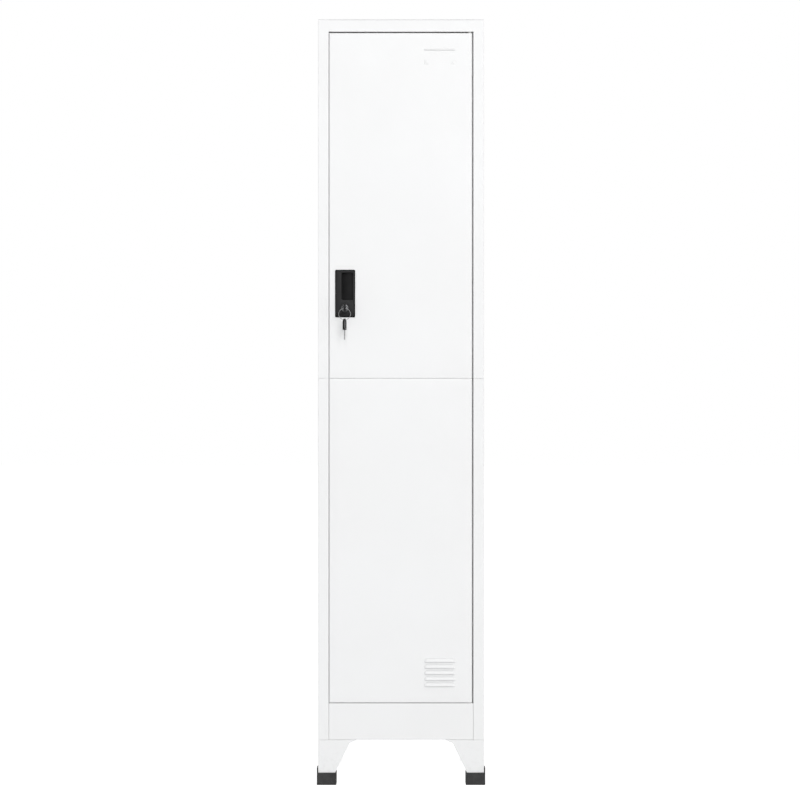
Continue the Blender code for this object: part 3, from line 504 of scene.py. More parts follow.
def node(tree, kind, values=None, **settings):
    """Adds a node. A value is a number or colour for the socket, or the socket that feeds it."""
    made = tree.nodes.new(kind)
    for name, setting in settings.items():
        setattr(made, name, setting)
    for name, value in (values or {}).items():
        socket = made.inputs[name]
        if isinstance(value, bpy.types.NodeSocket):
            tree.links.new(value, socket)
        else:
            socket.default_value = value
    return made


def maths(tree, operation, first, second=0.0, clamp=False):
    values = {0: first, 1: second}
    return node(tree, "ShaderNodeMath", values, operation=operation, use_clamp=clamp).outputs[0]


def noise(tree, position, scale, detail=3.0, roughness=0.5):
    values = {"Vector": position, "Scale": scale, "Detail": detail, "Roughness": roughness}
    return node(tree, "ShaderNodeTexNoise", values).outputs["Fac"]


def remap(tree, value, low, high, to_low=0.0, to_high=1.0):
    values = {"Value": value, "From Min": low, "From Max": high}
    values.update({"To Min": to_low, "To Max": to_high})
    return node(tree, "ShaderNodeMapRange", values).outputs["Result"]


def blend_colours(tree, factor, first, second):
    made = node(tree, "ShaderNodeMix", data_type="RGBA")
    values = (factor, first, second)
    for socket, value in zip((made.inputs[0], made.inputs[6], made.inputs[7]), values):
        if isinstance(value, bpy.types.NodeSocket):
            tree.links.new(value, socket)
        else:
            socket.default_value = value
    return made.outputs[2]


def start_group(name, inputs, outputs):
    """A shader group with number inputs, and number or colour outputs."""
    tree = bpy.data.node_groups.new(name, "ShaderNodeTree")
    for label, default in inputs:
        socket = tree.interface.new_socket(label, in_out="INPUT", socket_type="NodeSocketFloat")
        socket.default_value = default
    for label in outputs:
        tree.interface.new_socket(label, in_out="OUTPUT", socket_type="NodeSocketFloat")
    source = tree.nodes.new("NodeGroupInput").outputs
    end = tree.nodes.new("NodeGroupOutput")
    return tree, source, end


def own_position(tree):
    return node(tree, "ShaderNodeTexCoord").outputs["Object"]


def powder_grain_group():
    """Orange peel, fine speck and slow drift of a sprayed and baked powder coat."""
    tree, source, end = start_group(
        "Powder Grain", [("Grain Size", 0.001), ("Drift Size", 0.4)], ["Height", "Drift", "Speck"]
    )
    place = own_position(tree)
    fine = noise(tree, place, maths(tree, "DIVIDE", 1.0, source["Grain Size"]), 2.0, 0.45)
    peel_scale = maths(tree, "DIVIDE", 0.22, source["Grain Size"])
    peel = noise(tree, place, peel_scale, 1.0, 0.4)
    height = maths(tree, "MULTIPLY_ADD", peel, 0.7)
    tree.links.new(maths(tree, "MULTIPLY", fine, 0.3), height.node.inputs[2])
    drift = noise(tree, place, maths(tree, "DIVIDE", 1.0, source["Drift Size"]), 3.0, 0.55)
    tree.links.new(height, end.inputs["Height"])
    tree.links.new(remap(tree, drift, 0.35, 0.65), end.inputs["Drift"])
    tree.links.new(remap(tree, fine, 0.62, 0.74), end.inputs["Speck"])
    return tree


def settled_dust_group():
    """Dust on faces that look up, broken into soft patches."""
    tree, source, end = start_group(
        "Settled Dust", [("Amount", 0.5), ("Patch Size", 0.05)], ["Mask"]
    )
    normal = node(tree, "ShaderNodeNewGeometry").outputs["Normal"]
    upward = node(tree, "ShaderNodeSeparateXYZ", {0: normal}).outputs["Z"]
    facing = remap(tree, upward, 0.55, 0.95)
    scale = maths(tree, "DIVIDE", 1.0, source["Patch Size"])
    patch = noise(tree, own_position(tree), scale, 5.0, 0.6)
    patch = remap(tree, patch, 0.3, 0.7, 0.35, 1.0)
    mask = maths(tree, "MULTIPLY", maths(tree, "MULTIPLY", facing, patch), source["Amount"], True)
    tree.links.new(mask, end.inputs["Mask"])
    return tree


def floor_scuffs_group():
    """Scuffs and grime that gather close to the floor and fade upwards."""
    tree, source, end = start_group(
        "Floor Scuffs", [("Reach", 0.05), ("Mark Size", 0.006), ("Amount", 0.6)], ["Mask"]
    )
    place = own_position(tree)
    level = node(tree, "ShaderNodeSeparateXYZ", {0: place}).outputs["Z"]
    near = remap(tree, maths(tree, "DIVIDE", level, source["Reach"]), 0.0, 1.0, 1.0, 0.0)
    marks = noise(tree, place, maths(tree, "DIVIDE", 1.0, source["Mark Size"]), 6.0, 0.68)
    marks = remap(tree, marks, 0.50, 0.68)
    mask = maths(tree, "MULTIPLY", maths(tree, "MULTIPLY", near, marks), source["Amount"], True)
    tree.links.new(mask, end.inputs["Mask"])
    return tree


def handling_marks_group():
    """Faint smears left by hands, which only change the gloss."""
    tree, source, end = start_group(
        "Handling Marks", [("Smear Size", 0.03), ("Low", 0.0), ("High", 1.0)], ["Value"]
    )
    stretch = node(
        tree,
        "ShaderNodeMapping",
        {"Vector": own_position(tree), "Scale": (1.0, 1.0, 0.45), "Rotation": (0.0, 0.5, 0.0)},
    ).outputs["Vector"]
    smear = noise(tree, stretch, maths(tree, "DIVIDE", 1.0, source["Smear Size"]), 4.0, 0.62)
    made = node(tree, "ShaderNodeMapRange", {"Value": smear, "From Min": 0.3, "From Max": 0.7})
    tree.links.new(source["Low"], made.inputs["To Min"])
    tree.links.new(source["High"], made.inputs["To Max"])
    tree.links.new(made.outputs["Result"], end.inputs["Value"])
    return tree


def moulded_grain_group():
    """The spark-eroded grain of a plastic mould, with slight flow marks."""
    tree, source, end = start_group(
        "Moulded Grain", [("Grain Size", 0.0006), ("Flow Size", 0.02)], ["Height", "Flow"]
    )
    place = own_position(tree)
    scale = maths(tree, "DIVIDE", 1.0, source["Grain Size"])
    cells = node(
        tree, "ShaderNodeTexVoronoi", {"Vector": place, "Scale": scale}, feature="SMOOTH_F1"
    ).outputs["Distance"]
    soft = noise(tree, place, maths(tree, "MULTIPLY", scale, 0.6), 3.0, 0.6)
    height = maths(tree, "ADD", maths(tree, "MULTIPLY", cells, 0.6), soft)
    tree.links.new(height, end.inputs["Height"])
    flow = noise(tree, place, maths(tree, "DIVIDE", 1.0, source["Flow Size"]), 2.0, 0.5)
    tree.links.new(remap(tree, flow, 0.35, 0.65), end.inputs["Flow"])
    return tree


def metal_streaks_group():
    """Fine drawn lines along one direction, and the cloudy patches of a thin plating."""
    sizes = [("Line Size", 0.0004), ("Cloud Size", 0.006)]
    tree, source, end = start_group("Metal Streaks", sizes, ["Height", "Lines", "Cloud"])
    place = own_position(tree)
    drawn = node(
        tree, "ShaderNodeMapping", {"Vector": place, "Scale": (0.05, 1.0, 1.0)}
    ).outputs["Vector"]
    lines = noise(tree, drawn, maths(tree, "DIVIDE", 1.0, source["Line Size"]), 3.0, 0.7)
    cloud = noise(tree, place, maths(tree, "DIVIDE", 1.0, source["Cloud Size"]), 4.0, 0.6)
    tree.links.new(lines, end.inputs["Height"])
    tree.links.new(remap(tree, lines, 0.3, 0.7), end.inputs["Lines"])
    tree.links.new(remap(tree, cloud, 0.35, 0.65), end.inputs["Cloud"])
    return tree


def zinc_spangle_group():
    """Crystals of a zinc coat, each with its own shade."""
    tree, source, end = start_group("Zinc Spangle", [("Crystal Size", 0.003)], ["Shade", "Height"])
    scale = maths(tree, "DIVIDE", 1.0, source["Crystal Size"])
    cells = node(tree, "ShaderNodeTexVoronoi", {"Vector": own_position(tree), "Scale": scale})
    shade = node(tree, "ShaderNodeSeparateColor", {0: cells.outputs["Color"]}).outputs["Red"]
    tree.links.new(shade, end.inputs["Shade"])
    tree.links.new(cells.outputs["Distance"], end.inputs["Height"])
    return tree


GROUP_MAKERS = {
    "Powder Grain": powder_grain_group,
    "Settled Dust": settled_dust_group,
    "Floor Scuffs": floor_scuffs_group,
    "Handling Marks": handling_marks_group,
    "Moulded Grain": moulded_grain_group,
    "Metal Streaks": metal_streaks_group,
    "Zinc Spangle": zinc_spangle_group,
}


def effect(tree, name, **values):
    """Places a shader group in a material with its own values."""
    group = bpy.data.node_groups.get(name) or GROUP_MAKERS[name]()
    made = node(tree, "ShaderNodeGroup", node_tree=group)
    made.label = name
    for label, value in values.items():
        made.inputs[label.replace("_", " ")].default_value = value
    return made.outputs


def new_material(name, **fixed):
    """A material with one Principled shader, whose even values are set on its own sockets."""
    material = bpy.data.materials.new(name)
    material.use_nodes = True
    tree = material.node_tree
    shader = tree.nodes["Principled BSDF"]
    for label, value in fixed.items():
        shader.inputs[label.replace("_", " ")].default_value = value
    return material, tree, shader


def relief(tree, shader, height, distance, strength):
    values = {"Height": height, "Distance": distance, "Strength": strength}
    bump = node(tree, "ShaderNodeBump", values)
    tree.links.new(bump.outputs["Normal"], shader.inputs["Normal"])


def solid(colour):
    return (*colour, 1.0)


# Finishes


def powder_coat():
    paint = bpy.context.scene.locker_paint
    material, tree, shader = new_material("White Powder Coat", Specular_IOR_Level=0.45)
    grain = effect(tree, "Powder Grain", Grain_Size=paint.grain_size, Drift_Size=0.35)
    marks = effect(
        tree,
        "Handling Marks",
        Smear_Size=0.09,
        Low=paint.roughness - 0.05,
        High=paint.roughness + 0.07,
    )
    dust = effect(tree, "Settled Dust", Amount=0.22, Patch_Size=0.06)
    scuffs = effect(tree, "Floor Scuffs", Reach=0.11, Mark_Size=0.012, Amount=0.25)
    drift = maths(tree, "MULTIPLY", grain["Drift"], 0.30)
    speck = maths(tree, "MULTIPLY", grain["Speck"], 0.20)
    tone = maths(tree, "ADD", drift, speck, True)
    coat = blend_colours(tree, tone, solid(paint.colour), solid(paint.shade))
    dusty = blend_colours(tree, dust["Mask"], coat, (0.60, 0.59, 0.56, 1.0))
    worn = blend_colours(tree, scuffs["Mask"], dusty, (0.50, 0.50, 0.49, 1.0))
    tree.links.new(worn, shader.inputs["Base Color"])
    rough = maths(tree, "ADD", marks["Value"], maths(tree, "MULTIPLY", dust["Mask"], 0.4), True)
    tree.links.new(rough, shader.inputs["Roughness"])
    relief(tree, shader, grain["Height"], 0.00006, 0.35)
    return material


def moulded_plastic(name, dark, light, roughness, grain_size, dust_amount, scuff_amount, specular):
    material, tree, shader = new_material(name, Specular_IOR_Level=specular)
    grain = effect(tree, "Moulded Grain", Grain_Size=grain_size, Flow_Size=0.018)
    marks = effect(
        tree, "Handling Marks", Smear_Size=0.014, Low=roughness - 0.06, High=roughness + 0.08
    )
    dust = effect(tree, "Settled Dust", Amount=dust_amount, Patch_Size=0.01)
    scuffs = effect(tree, "Floor Scuffs", Reach=0.05, Mark_Size=0.0016, Amount=scuff_amount)
    colour = blend_colours(tree, grain["Flow"], solid(dark), solid(light))
    dusty = blend_colours(tree, dust["Mask"], colour, (0.30, 0.29, 0.27, 1.0))
    scuffed = blend_colours(tree, scuffs["Mask"], dusty, (0.16, 0.155, 0.15, 1.0))
    tree.links.new(scuffed, shader.inputs["Base Color"])
    rough = maths(tree, "ADD", marks["Value"], maths(tree, "MULTIPLY", scuffs["Mask"], 0.3), True)
    tree.links.new(rough, shader.inputs["Roughness"])
    relief(tree, shader, grain["Height"], 0.00008, 0.5)
    return material


def cap_plastic():
    dark, light = (0.022, 0.022, 0.023), (0.034, 0.034, 0.035)
    return moulded_plastic("Cap Plastic", dark, light, 0.5, 0.0009, 0.25, 0.22, 0.35)


def housing_plastic():
    dark, light = (0.0075, 0.0075, 0.008), (0.011, 0.011, 0.0115)
    return moulded_plastic("Housing Plastic", dark, light, 0.42, 0.0005, 0.12, 0.0, 0.25)


def key_plastic():
    dark, light = (0.004, 0.004, 0.0043), (0.007, 0.007, 0.0073)
    return moulded_plastic("Key Plastic", dark, light, 0.30, 0.0004, 0.08, 0.0, 0.22)


def housing_painted_shade():
    """Painted shade: a darker, matt copy of the housing's black for the rim, the grooves and the
    pocket's steep walls, where shade falls.
    """
    dark, light = (0.0030, 0.0030, 0.0032), (0.0055, 0.0055, 0.0057)
    return moulded_plastic("Housing Painted Shade", dark, light, 0.62, 0.0005, 0.05, 0.0, 0.06)


def nylon():
    light, dark = (0.80, 0.80, 0.77), (0.72, 0.72, 0.68)
    return moulded_plastic("Nylon", dark, light, 0.45, 0.0005, 0.10, 0.0, 0.5)


def drawn_metal(name, light, dark, gloss, worn_gloss):
    material, tree, shader = new_material(name, Metallic=1.0)
    streaks = effect(tree, "Metal Streaks", Line_Size=0.0003, Cloud_Size=0.005)
    marks = effect(tree, "Handling Marks", Smear_Size=0.006, Low=gloss, High=worn_gloss)
    tone = maths(tree, "MULTIPLY_ADD", streaks["Lines"], 0.4)
    tree.links.new(maths(tree, "MULTIPLY", streaks["Cloud"], 0.4), tone.node.inputs[2])
    colour = blend_colours(tree, tone, solid(light), solid(dark))
    tree.links.new(colour, shader.inputs["Base Color"])
    tree.links.new(marks["Value"], shader.inputs["Roughness"])
    relief(tree, shader, streaks["Height"], 0.00001, 0.4)
    return material


def plated_steel():
    light, dark = (0.74, 0.745, 0.76), (0.50, 0.505, 0.52)
    return drawn_metal("Plated Steel", light, dark, 0.16, 0.30)


# Painted reflection: a much darker copy of the plated steel, standing in for the dark reflections on
# the lock barrel and plug.
def lock_metal_painted_dark():
    light, dark = (0.20, 0.20, 0.205), (0.11, 0.11, 0.113)
    return drawn_metal("Lock Metal Painted Dark", light, dark, 0.24, 0.38)


# Painted reflection: a darker copy of the plated steel, standing in for the dimmer reflections on
# the key blades and the split ring.
def key_metal_painted_dim():
    light, dark = (0.40, 0.40, 0.405), (0.26, 0.26, 0.265)
    return drawn_metal("Key Metal Painted Dim", light, dark, 0.20, 0.34)


def zinc_steel():
    material, tree, shader = new_material("Zinc Steel", Metallic=1.0)
    crystals = effect(tree, "Zinc Spangle", Crystal_Size=0.0022)
    marks = effect(tree, "Handling Marks", Smear_Size=0.008, Low=0.30, High=0.46)
    dust = effect(tree, "Settled Dust", Amount=0.25, Patch_Size=0.01)
    colour = blend_colours(
        tree, crystals["Shade"], (0.48, 0.49, 0.51, 1.0), (0.66, 0.67, 0.70, 1.0)
    )
    dusty = blend_colours(tree, dust["Mask"], colour, (0.35, 0.34, 0.32, 1.0))
    tree.links.new(dusty, shader.inputs["Base Color"])
    tree.links.new(marks["Value"], shader.inputs["Roughness"])
    relief(tree, shader, crystals["Height"], 0.00002, 0.3)
    return material


def pale_floor():
    stage = bpy.context.scene.locker_stage
    material, tree, shader = new_material("Pale Floor")
    seen = node(tree, "ShaderNodeLightPath").outputs["Is Camera Ray"]
    glow = remap(tree, seen, 0.0, 1.0, stage.floor_bounce, stage.floor_glow)
    tree.links.new(glow, shader.inputs["Emission Strength"])
    drift = noise(tree, own_position(tree), 1.5, 3.0, 0.5)
    rough = remap(tree, drift, 0.3, 0.7, 0.75, 0.9)
    colour = blend_colours(tree, drift, (0.65, 0.65, 0.65, 1.0), (0.67, 0.67, 0.67, 1.0))
    tree.links.new(colour, shader.inputs["Base Color"])
    tree.links.new(rough, shader.inputs["Roughness"])
    shader.inputs["Emission Color"].default_value = (1.0, 1.0, 1.0, 1.0)
    shader.inputs["Specular IOR Level"].default_value = 0.1
    return material


FINISH_MAKERS = {
    "white_powder_coat": powder_coat,
    "cap_plastic": cap_plastic,
    "housing_plastic": housing_plastic,
    "housing_painted_shade": housing_painted_shade,
    # painted shade for the housing's rim, grooves and pocket walls
    "key_plastic": key_plastic,
    "nylon": nylon,
    "plated_steel": plated_steel,
    # painted reflections: darker copies of plated steel for the lock and the keys
    "lock_metal_painted_dark": lock_metal_painted_dark,
    "key_metal_painted_dim": key_metal_painted_dim,
    "zinc_steel": zinc_steel,
    "floor": pale_floor,
}
finishes = {}


def finish(name):
    if name not in finishes:
        finishes[name] = FINISH_MAKERS[name]()
    return finishes[name]


# Building pieces


def dress(obj, name):
    obj.data.materials.clear()
    obj.data.materials.append(finish(name))


def soften(obj, width, segments=2, angle=35):
    """Rounds the sharp edges that are left, after joining the corners that lie together."""
    weld = obj.modifiers.new("Join corners", "WELD")
    weld.merge_threshold = 0.00001
    bevel = obj.modifiers.new("Rounded edges", "BEVEL")
    bevel.width = width
    bevel.segments = segments
    bevel.limit_method = "ANGLE"
    bevel.angle_limit = math.radians(angle)
    bevel.harden_normals = True


def dress_nodes(names, finish_name, edge, segments=2):
    for name in names:
        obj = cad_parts[name]
        dress(obj, finish_name)
        soften(obj, edge, segments)


def to_object(name, bm, slot, smooth_angle=40):
    """Makes a piece of a finished mesh, with its finish and smooth faces up to an angle."""
    bmesh.ops.recalc_face_normals(bm, faces=bm.faces)
    mesh = bpy.data.meshes.new(name)
    bm.to_mesh(mesh)
    bm.free()
    obj = bpy.data.objects.new(name, mesh)
    bpy.context.scene.collection.objects.link(obj)
    dress(obj, slot)
    smooth(obj, smooth_angle)
    return obj


def add_piece(name, bm, slot, body, replaced=(), smooth_angle=40, finish_name=None):
    obj = to_object(name, bm, finish_name or slot, smooth_angle)
    if replaced:
        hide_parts(*replaced)
    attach(obj, body)
    return obj


def set_frame(origin, first, second):
    """A placement whose own X and Y run along the two directions."""
    x = Vector(first).normalized()
    z = x.cross(Vector(second)).normalized()
    y = z.cross(x)
    return Matrix.Translation(origin) @ Matrix((x, y, z)).transposed().to_4x4()


def spread(low, high, step):
    """Even places from low to high, no further apart than step."""
    count = max(1, math.ceil((high - low) / step))
    return [low + (high - low) * i / count for i in range(count + 1)]


def quarter(steps=4):
    """Angles from 0 to 90 degrees."""
    return [math.radians(90 * i / steps) for i in range(steps + 1)]


def circle(radius, level, steps):
    turn = [2 * math.pi * i / steps for i in range(steps)]
    return [(radius * math.cos(a), radius * math.sin(a), level) for a in turn]


def smooth(obj, angle):
    """Shades smooth, with the edges that are sharper than the angle kept sharp."""
    obj.data.shade_smooth()
    obj.data.set_sharp_from_angle(angle=math.radians(angle))


def lathe(bm, profile, steps=48, closed=True):
    """Turns (radius, height) points about Z. Points on the axis become one vertex."""
    rings = []
    for radius, height in profile:
        if radius < 1e-7:
            rings.append([bm.verts.new((0, 0, height))])
            continue
        rings.append([bm.verts.new(point) for point in circle(radius, height, steps)])
    pairs = list(zip(rings, rings[1:]))
    if closed:
        pairs.append((rings[-1], rings[0]))
    for lower, upper in pairs:
        for i in range(steps):
            j = (i + 1) % steps
            below = [lower[i % len(lower)], lower[j % len(lower)]]
            above = [upper[j % len(upper)], upper[i % len(upper)]]
            corners = list(dict.fromkeys(below + above))
            if len(corners) > 2:
                bm.faces.new(corners)


def rounded_outline(low, high, radius, steps=6):
    """Points round a rectangle with round corners, anticlockwise."""
    points = []
    corners = (
        (high[0] - radius, high[1] - radius, 0),
        (low[0] + radius, high[1] - radius, 90),
        (low[0] + radius, low[1] + radius, 180),
        (high[0] - radius, low[1] + radius, 270),
    )
    for x, y, start in corners:
        for i in range(steps + 1):
            a = math.radians(start + 90 * i / steps)
            points.append((x + radius * math.cos(a), y + radius * math.sin(a)))
    return points


def skin(bm, rings, cap_first=True, cap_last=True):
    """Joins loops of the same length into a tube, with flat ends."""
    loops = [[bm.verts.new(p) for p in ring] for ring in rings]
    for lower, upper in zip(loops, loops[1:]):
        for i in range(len(lower)):
            j = (i + 1) % len(lower)
            bm.faces.new((lower[i], lower[j], upper[j], upper[i]))
    if cap_first:
        bm.faces.new(list(reversed(loops[0])))
    if cap_last:
        bm.faces.new(loops[-1])
    return loops


def cut(obj, bm, operation="DIFFERENCE"):
    """Applies a Boolean with a mesh that is then thrown away."""
    bmesh.ops.recalc_face_normals(bm, faces=bm.faces)
    mesh = bpy.data.meshes.new("cutter")
    bm.to_mesh(mesh)
    bm.free()
    other = bpy.data.objects.new("cutter", mesh)
    bpy.context.scene.collection.objects.link(other)
    modifier = obj.modifiers.new("cut", "BOOLEAN")
    modifier.operation = operation
    modifier.solver = "EXACT"
    modifier.object = other
    bpy.context.view_layer.update()
    graph = bpy.context.evaluated_depsgraph_get()
    result = bpy.data.meshes.new_from_object(obj.evaluated_get(graph))
    obj.modifiers.clear()
    old = obj.data
    result.name = old.name
    obj.data = result
    bpy.data.meshes.remove(old)
    bpy.data.objects.remove(other, do_unlink=True)
    bpy.data.meshes.remove(mesh)


def add_box(bm, low, high):
    made = bmesh.ops.create_cube(bm, size=1)["verts"]
    middle = (Vector(low) + Vector(high)) / 2
    size = Vector(high) - Vector(low)
    bmesh.ops.scale(bm, verts=made, vec=size)
    bmesh.ops.translate(bm, verts=made, vec=middle)
    return made


# Door


def louvre_bottoms(door):
    first = LOWER_LOW.z + door.lowest_louvre
    return [first + number * door.louvre_pitch for number in range(door.louvre_count)]


def press_middle(door):
    return UPPER_HIGH.x - door.press_inset


def louvre_stand(door, x, rise):
    """How far the hood stands out at x and at a share of its height above the mouth."""
    straight = door.louvre_length / 2 - door.louvre_end
    along = max(0.0, abs(x - press_middle(door)) - straight) / door.louvre_end
    left = 1 - rise * rise - along * along
    return door.louvre_stand * left**0.62 if left > 0 else 0.0


def lip_stand(door, x, rise):
    """How far the card holder's lip stands out, with short closed ends."""
    straight = door.card_width / 2 - LIP_END
    along = max(0.0, abs(x - press_middle(door)) - straight) / LIP_END
    left = 1 - rise**2.5 - along**2
    return door.card_stand * 0.85 * left**0.6 if left > 0 else 0.0


def door_rows(low, high, hoods):
    """Heights of the grid's rows. Each hood starts with a mouth or with an open slot."""
    rows = []
    start = low
    for bottom, height, shares, stand, slot in hoods:
        rows += [(z, None, None) for z in spread(start, bottom - slot - HOOD_MARGIN, ROW_STEP)]
        rows.append((bottom - slot, None, None))
        rows += [(bottom + height * share, stand, share) for share in shares]
        rows.append((bottom + height + HOOD_MARGIN * 0.5, None, None))
        start = bottom + height + HOOD_MARGIN * 1.5
    rows += [(z, None, None) for z in spread(start, high, ROW_STEP)]
    return rows


def door_sheet(bm, low, high, hoods, columns, window):
    """One folded door half as a single skin: the face, its folds, its walls and its returns."""
    door = bpy.context.scene.locker_door
    fold = door.fold
    columns = sorted({low.x + fold, high.x - fold, *columns})
    rows = door_rows(low.z + fold, high.z - fold, hoods)
    if window:
        rows += [(window[1], None, None), (window[3], None, None)]
        rows.sort(key=lambda row: row[0])
    grid = []
    for z, stand, share in rows:
        line = []
        for x in columns:
            out = stand(door, x, share) if stand else 0.0
            line.append(bm.verts.new((x, FRONT - out, z)))
        grid.append(line)
    for r in range(len(rows) - 1):
        below, above = rows[r], rows[r + 1]
        mouth = below[1] is None and above[2] == 0.0
        middle_z = (below[0] + above[0]) / 2
        for c in range(len(columns) - 1):
            middle_x = (columns[c] + columns[c + 1]) / 2
            if mouth and (below[0] == above[0] or above[1](door, middle_x, 0.0) > 0):
                continue
            if window and window[0] < middle_x < window[2] and window[1] < middle_z < window[3]:
                continue
            corners = (grid[r][c], grid[r][c + 1], grid[r + 1][c + 1], grid[r + 1][c])
            bm.faces.new(corners)
    levels = [row[0] for row in rows]

    def ring(inset, depth):
        left, right = low.x + inset, high.x - inset
        bottom, top = low.z + inset, high.z - inset
        across = [min(max(x, left), right) for x in columns]
        across[0], across[-1] = left, right
        upward = [min(max(z, bottom), top) for z in levels]
        upward[0], upward[-1] = bottom, top
        path = [(x, bottom) for x in across]
        path += [(right, z) for z in upward[1:]]
        path += [(x, top) for x in reversed(across[:-1])]
        path += [(left, z) for z in reversed(upward[1:-1])]
        return [bm.verts.new((x, FRONT + depth, z)) for x, z in path]

    sections = [(fold * (1 - math.sin(a)), fold * (1 - math.cos(a))) for a in quarter()]
    for a in quarter():
        sections.append((fold * (1 - math.cos(a)), door.thickness - fold + fold * math.sin(a)))
    sections.append((door.returns, door.thickness))
    rings = [ring(inset, depth) for inset, depth in sections]
    for first, second in zip(rings, rings[1:]):
        for i in range(len(first)):
            j = (i + 1) % len(first)
            bm.faces.new((first[j], first[i], second[i], second[j]))
    bmesh.ops.remove_doubles(bm, verts=bm.verts, dist=0.000005)
    bmesh.ops.dissolve_degenerate(bm, edges=bm.edges, dist=0.000001)


def card_tab(bm, corner, way, door):
    """A triangular tab, bent up from the door along its two outer sides."""
    x, z = corner
    leg = door.card_corner
    rows = 6
    grid = []
    for i in range(rows + 1):
        share = i / rows
        a = Vector((x, FRONT, z + leg * share))
        b = Vector((x + way * leg * share, FRONT, z))
        line = [a.lerp(b, j / 6) for j in range(7)] if i else [a]
        for point in line:
            edge = min(abs(point.x - x), abs(point.z - z)) / (leg * 0.3)
            point.y -= door.card_stand * min(1.0, edge) ** 0.6
        grid.append([bm.verts.new(point) for point in line])
    for first, second in zip(grid, grid[1:]):
        if len(first) == 1:
            for j in range(6):
                bm.faces.new((first[0], second[j], second[j + 1]))
            continue
        for j in range(6):
            bm.faces.new((first[j], second[j], second[j + 1], first[j + 1]))


class LOCKER_OT_door(bpy.types.Operator):
    """Fold the two door halves, with their louvres and card holder"""

    bl_idname = "locker.door"
    bl_label = "Door"

    def execute(self, context):
        door = context.scene.locker_door
        lock = context.scene.locker_lock
        middle = press_middle(door)
        height = door.louvre_height
        hoods = [(z, height, HOOD_SHARES, louvre_stand, 0.0) for z in louvre_bottoms(door)]
        half = door.louvre_length / 2
        ends = spread(half - door.louvre_end, half, 0.0007)
        columns = spread(UPPER_LOW.x + door.fold, middle - half - 0.004, ROW_STEP)
        columns += [middle - x for x in ends] + [middle + x for x in ends]
        columns += spread(middle - half + door.louvre_end, middle + half - door.louvre_end, 0.004)
        columns += spread(middle + half + 0.004, UPPER_HIGH.x - door.fold, 0.01)
        low = Vector((LOWER_LOW.x, 0, LOWER_LOW.z))
        high = Vector((LOWER_HIGH.x, 0, LOWER_HIGH.z))
        self.make("door_lower_sheet", "door_lower", low, high, hoods, columns, None, door)

        lip_bottom = UPPER_HIGH.z - door.card_drop - door.card_lip
        hoods = [(lip_bottom, door.card_lip, LIP_SHARES, lip_stand, door.card_slot)]
        window = (
            HOUSING_LOW.x + lock.side_rim,
            HOUSING_LOW.z + lock.end_rim,
            HOUSING_HIGH.x - lock.side_rim,
            HOUSING_HIGH.z - lock.end_rim,
        )
        half = door.card_width / 2
        ends = spread(half - LIP_END, half, 0.0005)
        columns = spread(UPPER_LOW.x + door.fold, window[0], 0.01)
        columns += spread(window[2], middle - half - 0.001, ROW_STEP)
        columns += [middle - x for x in ends] + [middle + x for x in ends]
        columns += spread(middle - half + LIP_END, middle + half - LIP_END, 0.008)
        columns += spread(middle + half + 0.001, UPPER_HIGH.x - door.fold, 0.01)
        low = Vector((UPPER_LOW.x, 0, UPPER_LOW.z))
        high = Vector((UPPER_HIGH.x, 0, UPPER_HIGH.z))
        self.make("door_upper_sheet", "door_upper", low, high, hoods, columns, window, door)

        for side, way in (("left", 1), ("right", -1)):
            bm = bmesh.new()
            corner = (middle - way * half, UPPER_HIGH.z - door.card_drop - door.card_height)
            card_tab(bm, corner, way, door)
            tab = add_piece(f"card_tab_{side}", bm, "white_powder_coat", "door")
            self.thicken(tab, door.sheet)
        return {"FINISHED"}

    def make(self, name, node_name, low, high, hoods, columns, window, door):
        bm = bmesh.new()
        door_sheet(bm, low, high, hoods, columns, window)
        obj = add_piece(name, bm, "white_powder_coat", "door", [node_name], 50)
        self.thicken(obj, door.sheet)

    def thicken(self, obj, sheet):
        """Turns the skin to face the front and gives it the sheet's thickness inwards."""
        bm = bmesh.new()
        bm.from_mesh(obj.data)
        flat = [face for face in bm.faces if abs(face.normal.y) > 0.9]
        front = [face for face in flat if face.calc_center_median().y < FRONT + 0.002]
        if sum(face.normal.y * face.calc_area() for face in front) > 0:
            bmesh.ops.reverse_faces(bm, faces=bm.faces)
        bm.to_mesh(obj.data)
        bm.free()
        smooth(obj, 50)
        shell = obj.modifiers.new("Sheet", "SOLIDIFY")
        shell.thickness = sheet
        shell.offset = -1
        shell.use_even_offset = True
        soften(obj, bpy.context.scene.locker_paint.edge, 2, 60)


# Lock


